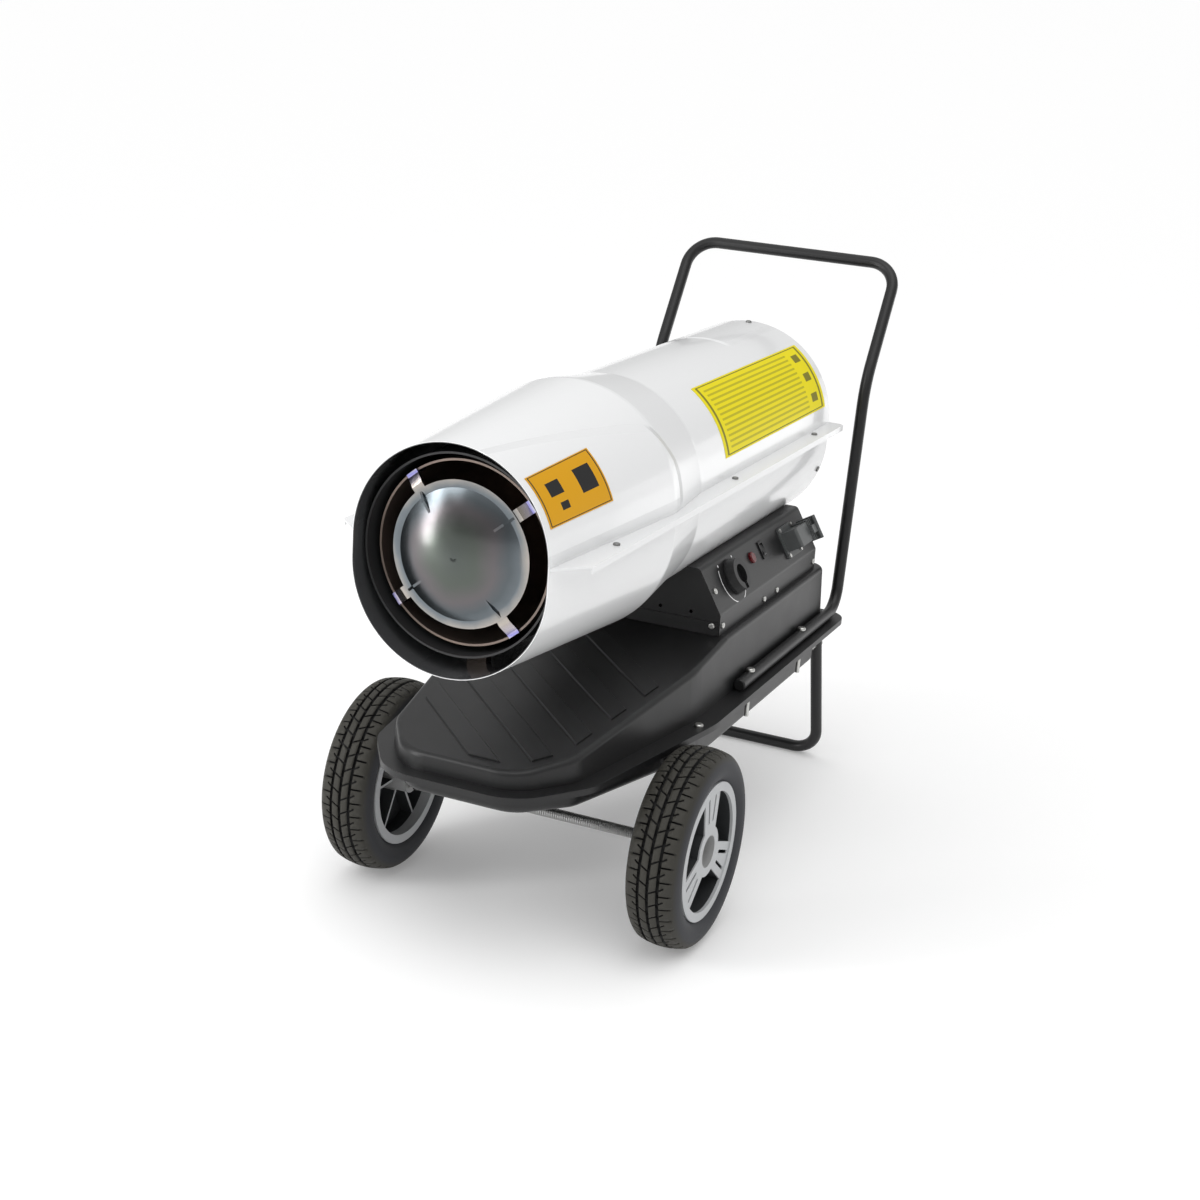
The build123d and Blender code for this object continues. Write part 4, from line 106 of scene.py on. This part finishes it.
class Finish:
    """The surface of one kind of piece: a principled shader and the nodes that vary it."""

    def __init__(self, name, color, roughness, **constants):
        self.material = bpy.data.materials.new(name)
        self.material.use_nodes = True
        self.tree = self.material.node_tree
        self.shader = self.tree.nodes["Principled BSDF"]
        self.set("Base Color", color)
        self.set("Roughness", roughness)
        for socket, value in constants.items():
            self.set(socket.replace("_", " "), value)

    def set(self, socket, value):
        target = self.shader.inputs[socket]
        if isinstance(value, Field):
            self.tree.links.new(value.socket, target)
        elif isinstance(value, bpy.types.NodeSocket):
            self.tree.links.new(value, target)
        elif socket == "Base Color" and len(value) == 3:
            target.default_value = (*value, 1)
        else:
            target.default_value = value

    def node(self, kind, settings, values, output=0):
        """One more node: its settings, then its sockets by number or name. Gives an output."""
        node = self.tree.nodes.new(kind)
        for name, setting in settings.items():
            if name == "stops":
                ramp = node.color_ramp
                while len(ramp.elements) < len(setting):
                    ramp.elements.new(0.5)
                for element, (place, color) in zip(ramp.elements, setting):
                    element.position = place
                    element.color = (*color, 1)
            else:
                setattr(node, name, setting)
        pairs = values.items() if isinstance(values, dict) else enumerate(values)
        for key, value in pairs:
            if isinstance(value, Field):
                self.tree.links.new(value.socket, node.inputs[key])
            elif isinstance(value, bpy.types.NodeSocket):
                self.tree.links.new(value, node.inputs[key])
            else:
                node.inputs[key].default_value = value
        return node.outputs[output]

    def place(self):
        """Object coordinates: the place in the heater's own frame, in metres."""
        return self.node("ShaderNodeTexCoord", {}, {}, "Object")

    def axes(self):
        vector = self.place()
        return [Field(self, self.node("ShaderNodeSeparateXYZ", {}, [vector], i)) for i in range(3)]

    def noise(self, scale, detail=2.0):
        values = {"Vector": self.place(), "Scale": scale, "Detail": detail}
        return Field(self, self.node("ShaderNodeTexNoise", {}, values, 0))

    def mix(self, share, low, high):
        """A colour between low and high."""
        low, high = [(*c, 1) if isinstance(c, tuple) and len(c) == 3 else c for c in (low, high)]
        return self.node("ShaderNodeMix", {"data_type": "RGBA"}, {0: share, 6: low, 7: high}, 2)

    def bump(self, height, distance, strength=1.0):
        values = {"Strength": strength, "Distance": distance, "Height": height}
        self.set("Normal", self.node("ShaderNodeBump", {}, values))

    def paint(self, *names):
        """Puts this finish on CAD nodes."""
        for name in names:
            nodes[name].data.materials.clear()
            nodes[name].data.materials.append(self.material)


AXLE_Y = (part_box("axle")[0][1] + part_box("axle")[1][1]) / 2
SPLIT_Z = 0.5265
SIDE_DROP = 0.026
LIP_RADIUS, BELLY_RADIUS, TAIL_RADIUS = 0.1215, 0.1445, 0.1325
LIP_Y, BELLY_Y, TAIL_Y = AXLE_Y - 0.262, AXLE_Y + 0.040, AXLE_Y + 0.150
FLARE = (BELLY_RADIUS - LIP_RADIUS) / (BELLY_Y - LIP_Y)
TAPER = (TAIL_RADIUS - BELLY_RADIUS) / (TAIL_Y - BELLY_Y)
HALF_SHEET = 0.00075
DEGREES = 180 / math.pi
WHITE = (0.86, 0.865, 0.87)
DARK_INSIDE = (0.07, 0.071, 0.074)

# The embossed fields are set out in degrees above +X and in metres behind the axle.
EMBOSSING = 0.003
SOFT_TURN, SOFT_LENGTH = 5.0, 0.012
SIDE_PAD_LOW, SIDE_PAD_END = 4.5, 0.062
SLANT_START, SLANT_RISE, SLANT_TURN = 0.035, 97.0, 44.3
CORNER_START, CORNER_RISE, CORNER_TURN, CORNER_SOFT = 0.0655, 748.0, 21.5, 7.0
TOP_PAD_LOW, TOP_PAD_START = 76.0, 0.47

enamel = Finish("white enamel", WHITE, 0.2, Coat_Weight=0.4, Coat_Roughness=0.06)
x, y, z = enamel.axes()
rise = (z - SPLIT_Z).most(0.0) + (z - (SPLIT_Z - SIDE_DROP)).least(0.0)
radius = (x * x + rise * rise).root()
flared = (y - LIP_Y) * FLARE + LIP_RADIUS
tapered = ((y - BELLY_Y) * TAPER + BELLY_RADIUS).most(TAIL_RADIUS)
inside = radius < flared.least(tapered) - HALF_SHEET
enamel.set("Base Color", enamel.mix(inside, WHITE, DARK_INSIDE))
angle = x.maths("ARCTAN2", z - SPLIT_Z, x) * DEGREES
behind = y - AXLE_Y
side_pad = (angle - SIDE_PAD_LOW).step(SOFT_TURN) * (SIDE_PAD_END - behind).step(SOFT_LENGTH)
slant = (SLANT_START - behind) * SLANT_RISE + SLANT_TURN
side_pad = side_pad * (slant - angle).step(SOFT_TURN)
corner = (CORNER_START - behind) * CORNER_RISE + CORNER_TURN
side_pad = side_pad * (corner - angle).step(CORNER_SOFT)
top_pad = (angle - TOP_PAD_LOW).step(SOFT_TURN) * (behind - TOP_PAD_START).step(SOFT_LENGTH)
enamel.bump(side_pad + top_pad + enamel.noise(180.0) * 0.02, EMBOSSING)
enamel.paint("upper_shell", "lower_shell")


# ---------------------------------------------------------------- stickers
# Two printed foils on the right of the upper shell, an amber one by the hot end and a long yellow one at
# the fan end. Each has a thin dark border and plain dark patches, and the yellow one rows of bars as well.
FOIL = 0.0003
FOIL_GAP = 0.0001
FOIL_SIDES = 360
SMOOTH_BELOW = math.radians(30)

# The print is set out in shares of the foil: 0.5 from the middle is the foil's edge.
BORDER_INNER, BORDER_OUTER = 0.465, 0.48
BAR_HALF, BAR_REACH, BAR_END, BAR_INK = 0.2, 0.44, 0.84, 0.5


def shell_radius(place):
    """The upper shell's outer radius at this distance behind the axle."""
    station = AXLE_Y + place
    flare = LIP_RADIUS + FLARE * (station - LIP_Y)
    return min(flare, max(BELLY_RADIUS + TAPER * (station - BELLY_Y), TAIL_RADIUS))


def sticker(name, start, end, low, high, color, ink, bars, patches):
    """A foil on the shell from start to end behind the axle and between two angles above +X."""
    bpy.ops.mesh.primitive_cone_add(
        vertices=FOIL_SIDES, radius1=shell_radius(start) + FOIL_GAP,
        radius2=shell_radius(end) + FOIL_GAP, depth=end - start, end_fill_type="NOTHING",
        rotation=(-math.pi / 2, 0, 0), location=(0, AXLE_Y + (start + end) / 2, SPLIT_Z))
    foil = bpy.context.object
    foil.name = name
    bpy.ops.object.transform_apply(location=True, rotation=True, scale=True)
    bpy.ops.object.mode_set(mode="EDIT")
    bpy.ops.mesh.select_mode(type="FACE")
    bpy.ops.mesh.select_all(action="DESELECT")
    bpy.ops.object.mode_set(mode="OBJECT")
    for face in foil.data.polygons:
        turn = math.degrees(math.atan2(face.center.z - SPLIT_Z, face.center.x))
        face.select = not low < turn < high
    bpy.ops.object.mode_set(mode="EDIT")
    bpy.ops.mesh.delete(type="FACE")
    bpy.ops.object.mode_set(mode="OBJECT")
    bpy.ops.object.modifier_add(type="SOLIDIFY")
    foil.modifiers["Solidify"].thickness = FOIL
    foil.modifiers["Solidify"].offset = 1
    bpy.ops.object.modifier_apply(modifier="Solidify")
    bpy.ops.object.shade_smooth_by_angle(angle=SMOOTH_BELOW)
    print_finish = Finish(name + " print", color, 0.5, Specular_IOR_Level=0.15)
    fx, fy, fz = print_finish.axes()
    along = (fy - AXLE_Y - start) / (end - start)
    up = (fx.maths("ARCTAN2", fz - SPLIT_Z, fx) * DEGREES - low) / (high - low)
    edge = (along - 0.5).size().most((up - 0.5).size())
    border = (edge > BORDER_INNER) * (edge < BORDER_OUTER)
    row = (up * bars).fract()
    rows = ((row - 0.5).size() < BAR_HALF) * (edge < BAR_REACH) * (along < BAR_END)
    marks = border + rows * BAR_INK
    for patch_along, patch_up, half_along, half_up in patches:
        marks += ((along - patch_along).size() < half_along) * ((up - patch_up).size() < half_up)
    print_finish.set("Base Color", print_finish.mix(marks.least(1.0), color, ink))
    foil.data.materials.append(print_finish.material)
    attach(foil, "frame")
    foil.select_set(False)


AMBER, AMBER_INK = (0.70, 0.345, 0.006), (0.02, 0.02, 0.02)
YELLOW, YELLOW_INK = (0.84, 0.72, 0.006), (0.22, 0.20, 0.02)
sticker("amber_sticker", start=-0.250, end=-0.109, low=20, high=49, color=AMBER, ink=AMBER_INK, bars=0,
        patches=((0.74, 0.55, 0.13, 0.22), (0.27, 0.62, 0.10, 0.13), (0.31, 0.28, 0.06, 0.07)))
sticker("yellow_sticker", start=0.237, end=0.636, low=12, high=56, color=YELLOW, ink=YELLOW_INK, bars=14,
        patches=[(0.91, patch_up, 0.03, 0.06) for patch_up in (0.2, 0.5, 0.8)])


# ---------------------------------------------------------------- chamber and deflector
# The liners and the domed deflector are thin stainless sheet. The flame has coloured the dome and its legs
# with straw and blue rings and scorched the chamber, and the heat shield round it is coated dark.
BURNER_Z = 0.5155
DEFLECTOR_RADIUS = 0.109
CLOUDING = 0.34
stainless = Finish("heat tinted stainless", (0.2, 0.2, 0.2), 0.28, Metallic=1.0)
x, y, z = stainless.axes()
radius = (x * x + (z - BURNER_Z) * (z - BURNER_Z)).root()
cloud = stainless.noise(14.0, 3.0)
ring = radius / DEFLECTOR_RADIUS + cloud * CLOUDING - CLOUDING / 2
tint = stainless.node("ShaderNodeValToRGB", {"stops": [
    (0.00, (0.085, 0.095, 0.09)), (0.25, (0.10, 0.112, 0.10)), (0.45, (0.14, 0.13, 0.135)),
    (0.60, (0.11, 0.125, 0.135)), (0.70, (0.15, 0.17, 0.185)), (0.84, (0.42, 0.38, 0.34)),
    (0.92, (0.50, 0.46, 0.52)), (0.97, (0.26, 0.25, 0.58)), (1.00, (0.50, 0.50, 0.60))]}, [ring])
stainless.set("Base Color", tint)
stainless.set("Roughness", stainless.noise(60.0) * 0.10 + 0.17)
stainless.paint("flame_deflector")

scorched = Finish("scorched steel", (0.12, 0.10, 0.09), 0.36, Metallic=0.8)
soot = scorched.noise(9.0, 4.0)
scorched.set("Base Color", scorched.mix(soot, (0.36, 0.27, 0.22), (0.10, 0.095, 0.095)))
scorched.paint("combustion_chamber", "burner_head", "chamber_struts")

liner = Finish("liner coat", (0.022, 0.022, 0.023), 0.5)
liner.bump(liner.noise(90.0), 0.0002)
liner.paint("heat_shield")


# ---------------------------------------------------------------- tank, handle, foot and control box
# The tank is two pressed halves seamed at a flange; it, the bent tubes and the folded box round the controls
# are powder coated in one satin black.
BLACK = (0.011, 0.011, 0.0115)
PEEL_SCALE = 900.0
PEEL_RELIEF = {"distance": 0.0001, "strength": 0.5}
powder = Finish("black powder coat", BLACK, 0.38, Specular_IOR_Level=0.4)
powder.bump(powder.noise(PEEL_SCALE), **PEEL_RELIEF)
powder.set("Roughness", powder.noise(25.0) * 0.08 + 0.33)
powder.paint("tank_upper", "tank_lower", "filler_neck", "axle_brackets", "handle_tube", "foot_tube",
             "front_support", "rear_support", "side_cover", "rear_grille", "motor_pedestal",
             "ignition_transformer")

# The panel's cover has the same coat, with the thermostat's scale printed in white round the knob: an arc
# and two dots on one circle. It is set out along the box and up the slope.
SLOPE = (-0.510, 0.860)
SLOPE_FOOT, SLOPE_TOP = 0.352, 0.405
DIAL_ALONG, DIAL_UP = -0.004, 0.001
DIAL_RADIUS = 0.0345
DIAL_LINE = 0.0008
FRONT_ARC_TOP, REAR_ARC_TOP = 0.017, -0.021
DOTS = ((-0.0265, 0.0225), (0.0250, 0.0240))
DOT_RADIUS = 0.0017
PRINT_WHITE = (0.8, 0.8, 0.8)
knob_low, knob_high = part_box("thermostat_knob")
dial_x, dial_y, dial_z = [(a + b) / 2 for a, b in zip(knob_low, knob_high)]
panel = Finish("printed powder coat", BLACK, 0.37, Specular_IOR_Level=0.4)
x, y, z = panel.axes()
along = y - (dial_y + DIAL_ALONG)
up = (x - dial_x) * SLOPE[0] + (z - dial_z) * SLOPE[1] - DIAL_UP
scale = ((along * along + up * up).root() - DIAL_RADIUS).size() < DIAL_LINE
scale = scale * ((along < 0.0) * (up < FRONT_ARC_TOP) + (along > 0.0) * (up < REAR_ARC_TOP))
for dot_along, dot_up in DOTS:
    beside, above = along - dot_along, up - dot_up
    scale = scale + ((beside * beside + above * above).root() < DOT_RADIUS)
on_slope = (z > SLOPE_FOOT) * (z < SLOPE_TOP)
panel.set("Base Color", panel.mix((scale * on_slope).least(1.0), BLACK, PRINT_WHITE))
panel.bump(panel.noise(PEEL_SCALE), **PEEL_RELIEF)
panel.paint("control_cover")


# ---------------------------------------------------------------- small moulded and metal pieces
# Black mouldings for the cap, knob, switch, plugs and fan, a grey one for the inlet, zinc-plated steel for
# the axle, screws and drain plug, brass for the nozzle and contacts, cast aluminium for the motor and pump.
plastic = Finish("black moulding", (0.012, 0.012, 0.0125), 0.42, Specular_IOR_Level=0.4)
plastic.paint("fuel_cap", "handle_end_plugs", "thermostat", "thermostat_knob", "switch_body",
              "switch_rocker", "photocell", "fan")

zinc = Finish("zinc plate", (0.55, 0.55, 0.53), 0.32, Metallic=1.0)
zinc.bump(zinc.noise(500.0), 0.00005)
zinc.paint("axle_spacers", "axle_washers", "frame_bolts", "frame_nuts", "foot_bolts",
           "box_screws", "inlet_screws", "motor_shaft", "filler_strainer", "drain_plug")

cap_zinc = Finish("pressed cap", (0.5, 0.5, 0.5), 0.4, Metallic=0.3)
cap_zinc.paint("axle_caps")

dull = Finish("dull zinc", (0.24, 0.24, 0.235), 0.3, Metallic=1.0)
dull.paint("shell_screws")

ROLLED_RIDGES = 330.0
rolled = Finish("rolled zinc bar", (0.55, 0.55, 0.54), 0.3, Metallic=1.0)
rolled.bump((rolled.axes()[0] * ROLLED_RIDGES).zigzag(), 0.0005)
rolled.paint("axle")

inlet_grey = Finish("inlet moulding", (0.085, 0.09, 0.09), 0.4)
inlet_grey.paint("inlet_housing", "inlet_lid")

brass = Finish("brass", (0.55, 0.40, 0.16), 0.3, Metallic=1.0)
brass.paint("nozzle_block", "oil_nozzle", "inlet_contacts")

lens = Finish("red lens", (0.11, 0.003, 0.006), 0.25, Specular_IOR_Level=0.4)
lens.paint("pilot_lamp")

porcelain = Finish("porcelain", (0.8, 0.79, 0.75), 0.2)
porcelain.paint("electrodes")

casting = Finish("aluminium casting", (0.5, 0.51, 0.52), 0.4, Metallic=1.0)
casting.paint("motor", "air_pump", "pump_cover")

graphite = Finish("graphite", (0.03, 0.03, 0.03), 0.5)
graphite.paint("pump_rotor")

hose = Finish("hose rubber", (0.02, 0.02, 0.02), 0.6)
hose.paint("air_hose", "fuel_line")

filter_bowl = Finish("filter bowl", (0.7, 0.68, 0.58), 0.3)
filter_bowl.paint("fuel_filter")

board = Finish("circuit board", (0.02, 0.16, 0.07), 0.4)
board.paint("circuit_board")


# ---------------------------------------------------------------- wheels
# Spoked rims moulded in silver-grey plastic, under air-filled rubber tyres. The hollows between the spokes
# are
# painted near black: painted shade in the recesses. The hub's recess is a deeper grey than the spokes. Radii
# are taken from the axle's line, and the hollows' two ends outwards from the rim's middle.
AXLE_Z = 0.125
WHEEL_X = 0.2095
HUB_RADIUS, HOLLOW_RADIUS = 0.0208, 0.0785
HOLLOW_INNER, HOLLOW_OUTER = -0.0155, 0.0262
# The hub's grey, the spokes' silver, and the painted shade in the hollows between the spokes.
HUB_SILVER, SPOKE_SILVER, HOLLOW_PAINTED_SHADE = (0.36, 0.36, 0.36), (0.48, 0.49, 0.50), (0.03, 0.032, 0.034)
rim_grey = Finish("rim moulding", (0.36, 0.37, 0.38), 0.45)
x, y, z = rim_grey.axes()
from_axle = ((y - AXLE_Y) * (y - AXLE_Y) + (z - AXLE_Z) * (z - AXLE_Z)).root()
out = x.size() - WHEEL_X
# Painted shade: the recessed surfaces between the spokes are coloured near black where shade falls in them.
shaded_hollow = (out < HOLLOW_OUTER) * (out > HOLLOW_INNER)
shaded_hollow = shaded_hollow * (from_axle < HOLLOW_RADIUS) * (from_axle > HUB_RADIUS)
silver = rim_grey.mix(from_axle < HUB_RADIUS, SPOKE_SILVER, HUB_SILVER)
rim_grey.set("Base Color", rim_grey.mix(shaded_hollow, silver, HOLLOW_PAINTED_SHADE))
rim_grey.paint("right_rim", "left_rim")

# The tyres' moulded tread: skewed cuts between the straight grooves and straight ones that run out over the
# shoulders part it into blocks. Each tyre stands for its plain CAD node. The crown's drop is CROWN_FALL times
# the square of the place across the tread. A ring of cuts has that place and the cuts' length, the radius of
# their bottom, their skew and the share of a pitch by which they are turned on.
PITCHES = 42
TREAD_RADIUS = 0.125
CROWN_FALL = 6.4
CUT_WIDTH = 0.0022
CUT_PROUD = 0.003
TREAD_RINGS = (
    (0.0064, 0.0122, 0.1222, 0.5, 0.0), (-0.0064, 0.0122, 0.1222, -0.5, 0.5),
    (0.0220, 0.0180, 0.1180, 0.0, 0.25), (-0.0220, 0.0180, 0.1180, 0.0, 0.75),
    (0.0165, 0.0080, 0.1205, 0.6, 0.75), (-0.0165, 0.0080, 0.1205, -0.6, 0.25))
GROOVE_DEPTH, GROOVE_REACH = 0.0007, 0.0252
WALL_RADIUS, WALL_SOFT = 0.114, 0.006
# Rubber of the walls and tread, and the near-black painted shade in the crown's grooves.
WALL_RUBBER, TREAD_RUBBER, GROOVE_PAINTED_SHADE = (0.040, 0.041, 0.046), (0.041, 0.039, 0.033), (0.003,) * 3
rubber = Finish("tyre rubber", (0.04, 0.04, 0.04), 0.6, Specular_IOR_Level=0.25)
x, y, z = rubber.axes()
aside = x.size() - WHEEL_X
high, deep = z - AXLE_Z, y - AXLE_Y
tread = (high * high + deep * deep).root()
depth = TREAD_RADIUS - aside * aside * CROWN_FALL - tread
# Painted shade: wherever the crown's grooves and cuts go below their set depth, they are coloured near black.
painted_groove_shade = (depth > GROOVE_DEPTH) * (aside.size() < GROOVE_REACH)
blocks = rubber.mix((tread - WALL_RADIUS).step(WALL_SOFT), WALL_RUBBER, TREAD_RUBBER)
rubber.set("Base Color", rubber.mix(painted_groove_shade, blocks, GROOVE_PAINTED_SHADE))
rubber.bump(rubber.noise(300.0), 0.00012)


def tread_cutter(middle, length, bottom, skew, shift):
    """One ring of cuts across the tread: a thin block at the top of the tyre, copied round the axle."""
    tall = TREAD_RADIUS + CUT_PROUD - bottom
    bpy.ops.object.select_all(action="DESELECT")
    bpy.ops.mesh.primitive_cube_add(size=1, scale=(length, CUT_WIDTH, tall))
    first = bpy.context.object
    bpy.ops.object.transform_apply(location=True, rotation=True, scale=True)
    at_top = Matrix.Translation((middle, 0, bottom + tall / 2)) @ Matrix.Rotation(skew, 4, "Z")
    axle = Matrix.Translation((0, AXLE_Y, AXLE_Z))
    for i in range(PITCHES):
        block = first
        if i:
            block = bpy.data.objects.new("cut", first.data.copy())
            bpy.context.collection.objects.link(block)
        turned_by = Matrix.Rotation((i + shift) * 2 * math.pi / PITCHES, 4, "X")
        block.matrix_world = axle @ turned_by @ at_top
        block.select_set(True)
    bpy.context.view_layer.objects.active = first
    bpy.ops.object.join()
    bpy.ops.object.transform_apply(location=True, rotation=True, scale=True)
    first.select_set(False)
    return first


for side, wheel in ((1, "right"), (-1, "left")):
    tyre = bpy.data.objects.new(wheel + "_treaded_tyre", nodes[wheel + "_tyre"].data.copy())
    bpy.context.collection.objects.link(tyre)
    bpy.ops.object.select_all(action="DESELECT")
    tyre.select_set(True)
    bpy.context.view_layer.objects.active = tyre
    bpy.ops.object.mode_set(mode="EDIT")
    bpy.ops.mesh.select_all(action="SELECT")
    bpy.ops.mesh.remove_doubles(threshold=0.00001)
    bpy.ops.object.mode_set(mode="OBJECT")
    for across, length, bottom, skew, shift in TREAD_RINGS:
        cutter = tread_cutter(side * WHEEL_X + across, length, bottom, skew, shift)
        bpy.context.view_layer.objects.active = tyre
        cuts = tyre.modifiers.new("cuts", "BOOLEAN")
        cuts.operation = "DIFFERENCE"
        cuts.solver = "EXACT"
        cuts.object = cutter
        bpy.ops.object.modifier_apply(modifier="cuts")
        bpy.data.objects.remove(cutter)
    bpy.ops.object.select_all(action="DESELECT")
    tyre.select_set(True)
    bpy.ops.object.shade_smooth_by_angle(angle=SMOOTH_BELOW)
    tyre.data.materials.clear()
    tyre.data.materials.append(rubber.material)
    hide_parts(wheel + "_tyre")
    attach(tyre, wheel + "_wheel")
    tyre.select_set(False)


# ---------------------------------------------------------------- floor, light and camera
# A pale studio floor, one wide sun from above, a soft box and an upright strip light on the left, a weak lamp
# low behind, and a sky that brightens towards the zenith. The camera stands in front, on the right.
FLOOR_SIZE = 600
floor_finish = Finish("studio floor", (0.83, 0.83, 0.83), 0.9, Emission_Color=(1, 1, 1, 1),
                      Emission_Strength=0.18)
bpy.ops.mesh.primitive_plane_add(size=FLOOR_SIZE)
floor = bpy.context.object
floor.name = "studio_floor"
floor.data.materials.append(floor_finish.material)

HORIZON, ZENITH = 0.42, 0.95
HORIZON_RISE, ZENITH_RISE = 0.2, 0.9
world = bpy.data.worlds.new("studio")
bpy.context.scene.world = world
world.use_nodes = True
sky, links = world.node_tree.nodes, world.node_tree.links
direction = sky.new("ShaderNodeTexCoord")
height = sky.new("ShaderNodeSeparateXYZ")
links.new(direction.outputs["Generated"], height.inputs[0])
ambient = sky.new("ShaderNodeMapRange")
links.new(height.outputs["Z"], ambient.inputs["Value"])
for name, value in (("From Min", HORIZON_RISE), ("From Max", ZENITH_RISE),
                    ("To Min", HORIZON), ("To Max", ZENITH)):
    ambient.inputs[name].default_value = value
light_path = sky.new("ShaderNodeLightPath")
strength = sky.new("ShaderNodeMapRange")
strength.inputs["To Max"].default_value = 1.0
links.new(light_path.outputs["Is Camera Ray"], strength.inputs["Value"])
links.new(ambient.outputs["Result"], strength.inputs["To Min"])
background = sky["Background"]
background.inputs["Color"].default_value = (1, 1, 1, 1)
links.new(strength.outputs["Result"], background.inputs["Strength"])


def lamp(kind, name, place, aim, energy, **settings):
    """A lamp at a place, turned towards what it is aimed at."""
    light = bpy.data.lights.new(name, kind)
    light.energy = energy
    for setting, value in settings.items():
        setattr(light, setting, value)
    holder = bpy.data.objects.new(name, light)
    bpy.context.collection.objects.link(holder)
    holder.location = place
    holder.rotation_euler = (Vector(aim) - Vector(place)).to_track_quat("-Z", "Y").to_euler()


lamp("SUN", "window", (0.8, -1.2, 4.0), (0, 0, 0.3), 0.75, angle=math.radians(50))
lamp("AREA", "soft box", (-1.6, -2.2, 2.2), (0, -0.3, 0.4), 18, size=1.2)
lamp("AREA", "strip light", (-1.6, -1.85, 0.75), (0, -0.54, 0.52), 16,
     shape="RECTANGLE", size=0.35, size_y=1.3)
lamp("AREA", "low light", (1.3, 2.3, 0.35), (0.1, 0, 0.3), 4, size=1.2)

AZIMUTH = math.radians(23.223)
ELEVATION = math.radians(17.634)
ROLL = math.radians(4.025)
DISTANCE = 2.64494
FOCAL_PIXELS, PICTURE_WIDTH = 2037.26, 1200
SENSOR = 36
TARGET = Vector((0, AXLE_Y + 0.16490, 0.35820))
flat = math.cos(ELEVATION)
back = Vector((math.sin(AZIMUTH) * flat, -math.cos(AZIMUTH) * flat, math.sin(ELEVATION)))
level = Vector((math.cos(AZIMUTH), math.sin(AZIMUTH), 0))
upright = back.cross(level)
right = level * math.cos(ROLL) + upright * math.sin(ROLL)
up = upright * math.cos(ROLL) - level * math.sin(ROLL)
camera_data = bpy.data.cameras.new("camera")
camera_data.sensor_width = SENSOR
camera_data.lens = FOCAL_PIXELS / PICTURE_WIDTH * SENSOR
camera = bpy.data.objects.new("camera", camera_data)
bpy.context.collection.objects.link(camera)
turned = Matrix((right, up, back)).transposed().to_4x4()
camera.matrix_world = Matrix.Translation(TARGET + back * DISTANCE) @ turned
bpy.context.scene.camera = camera
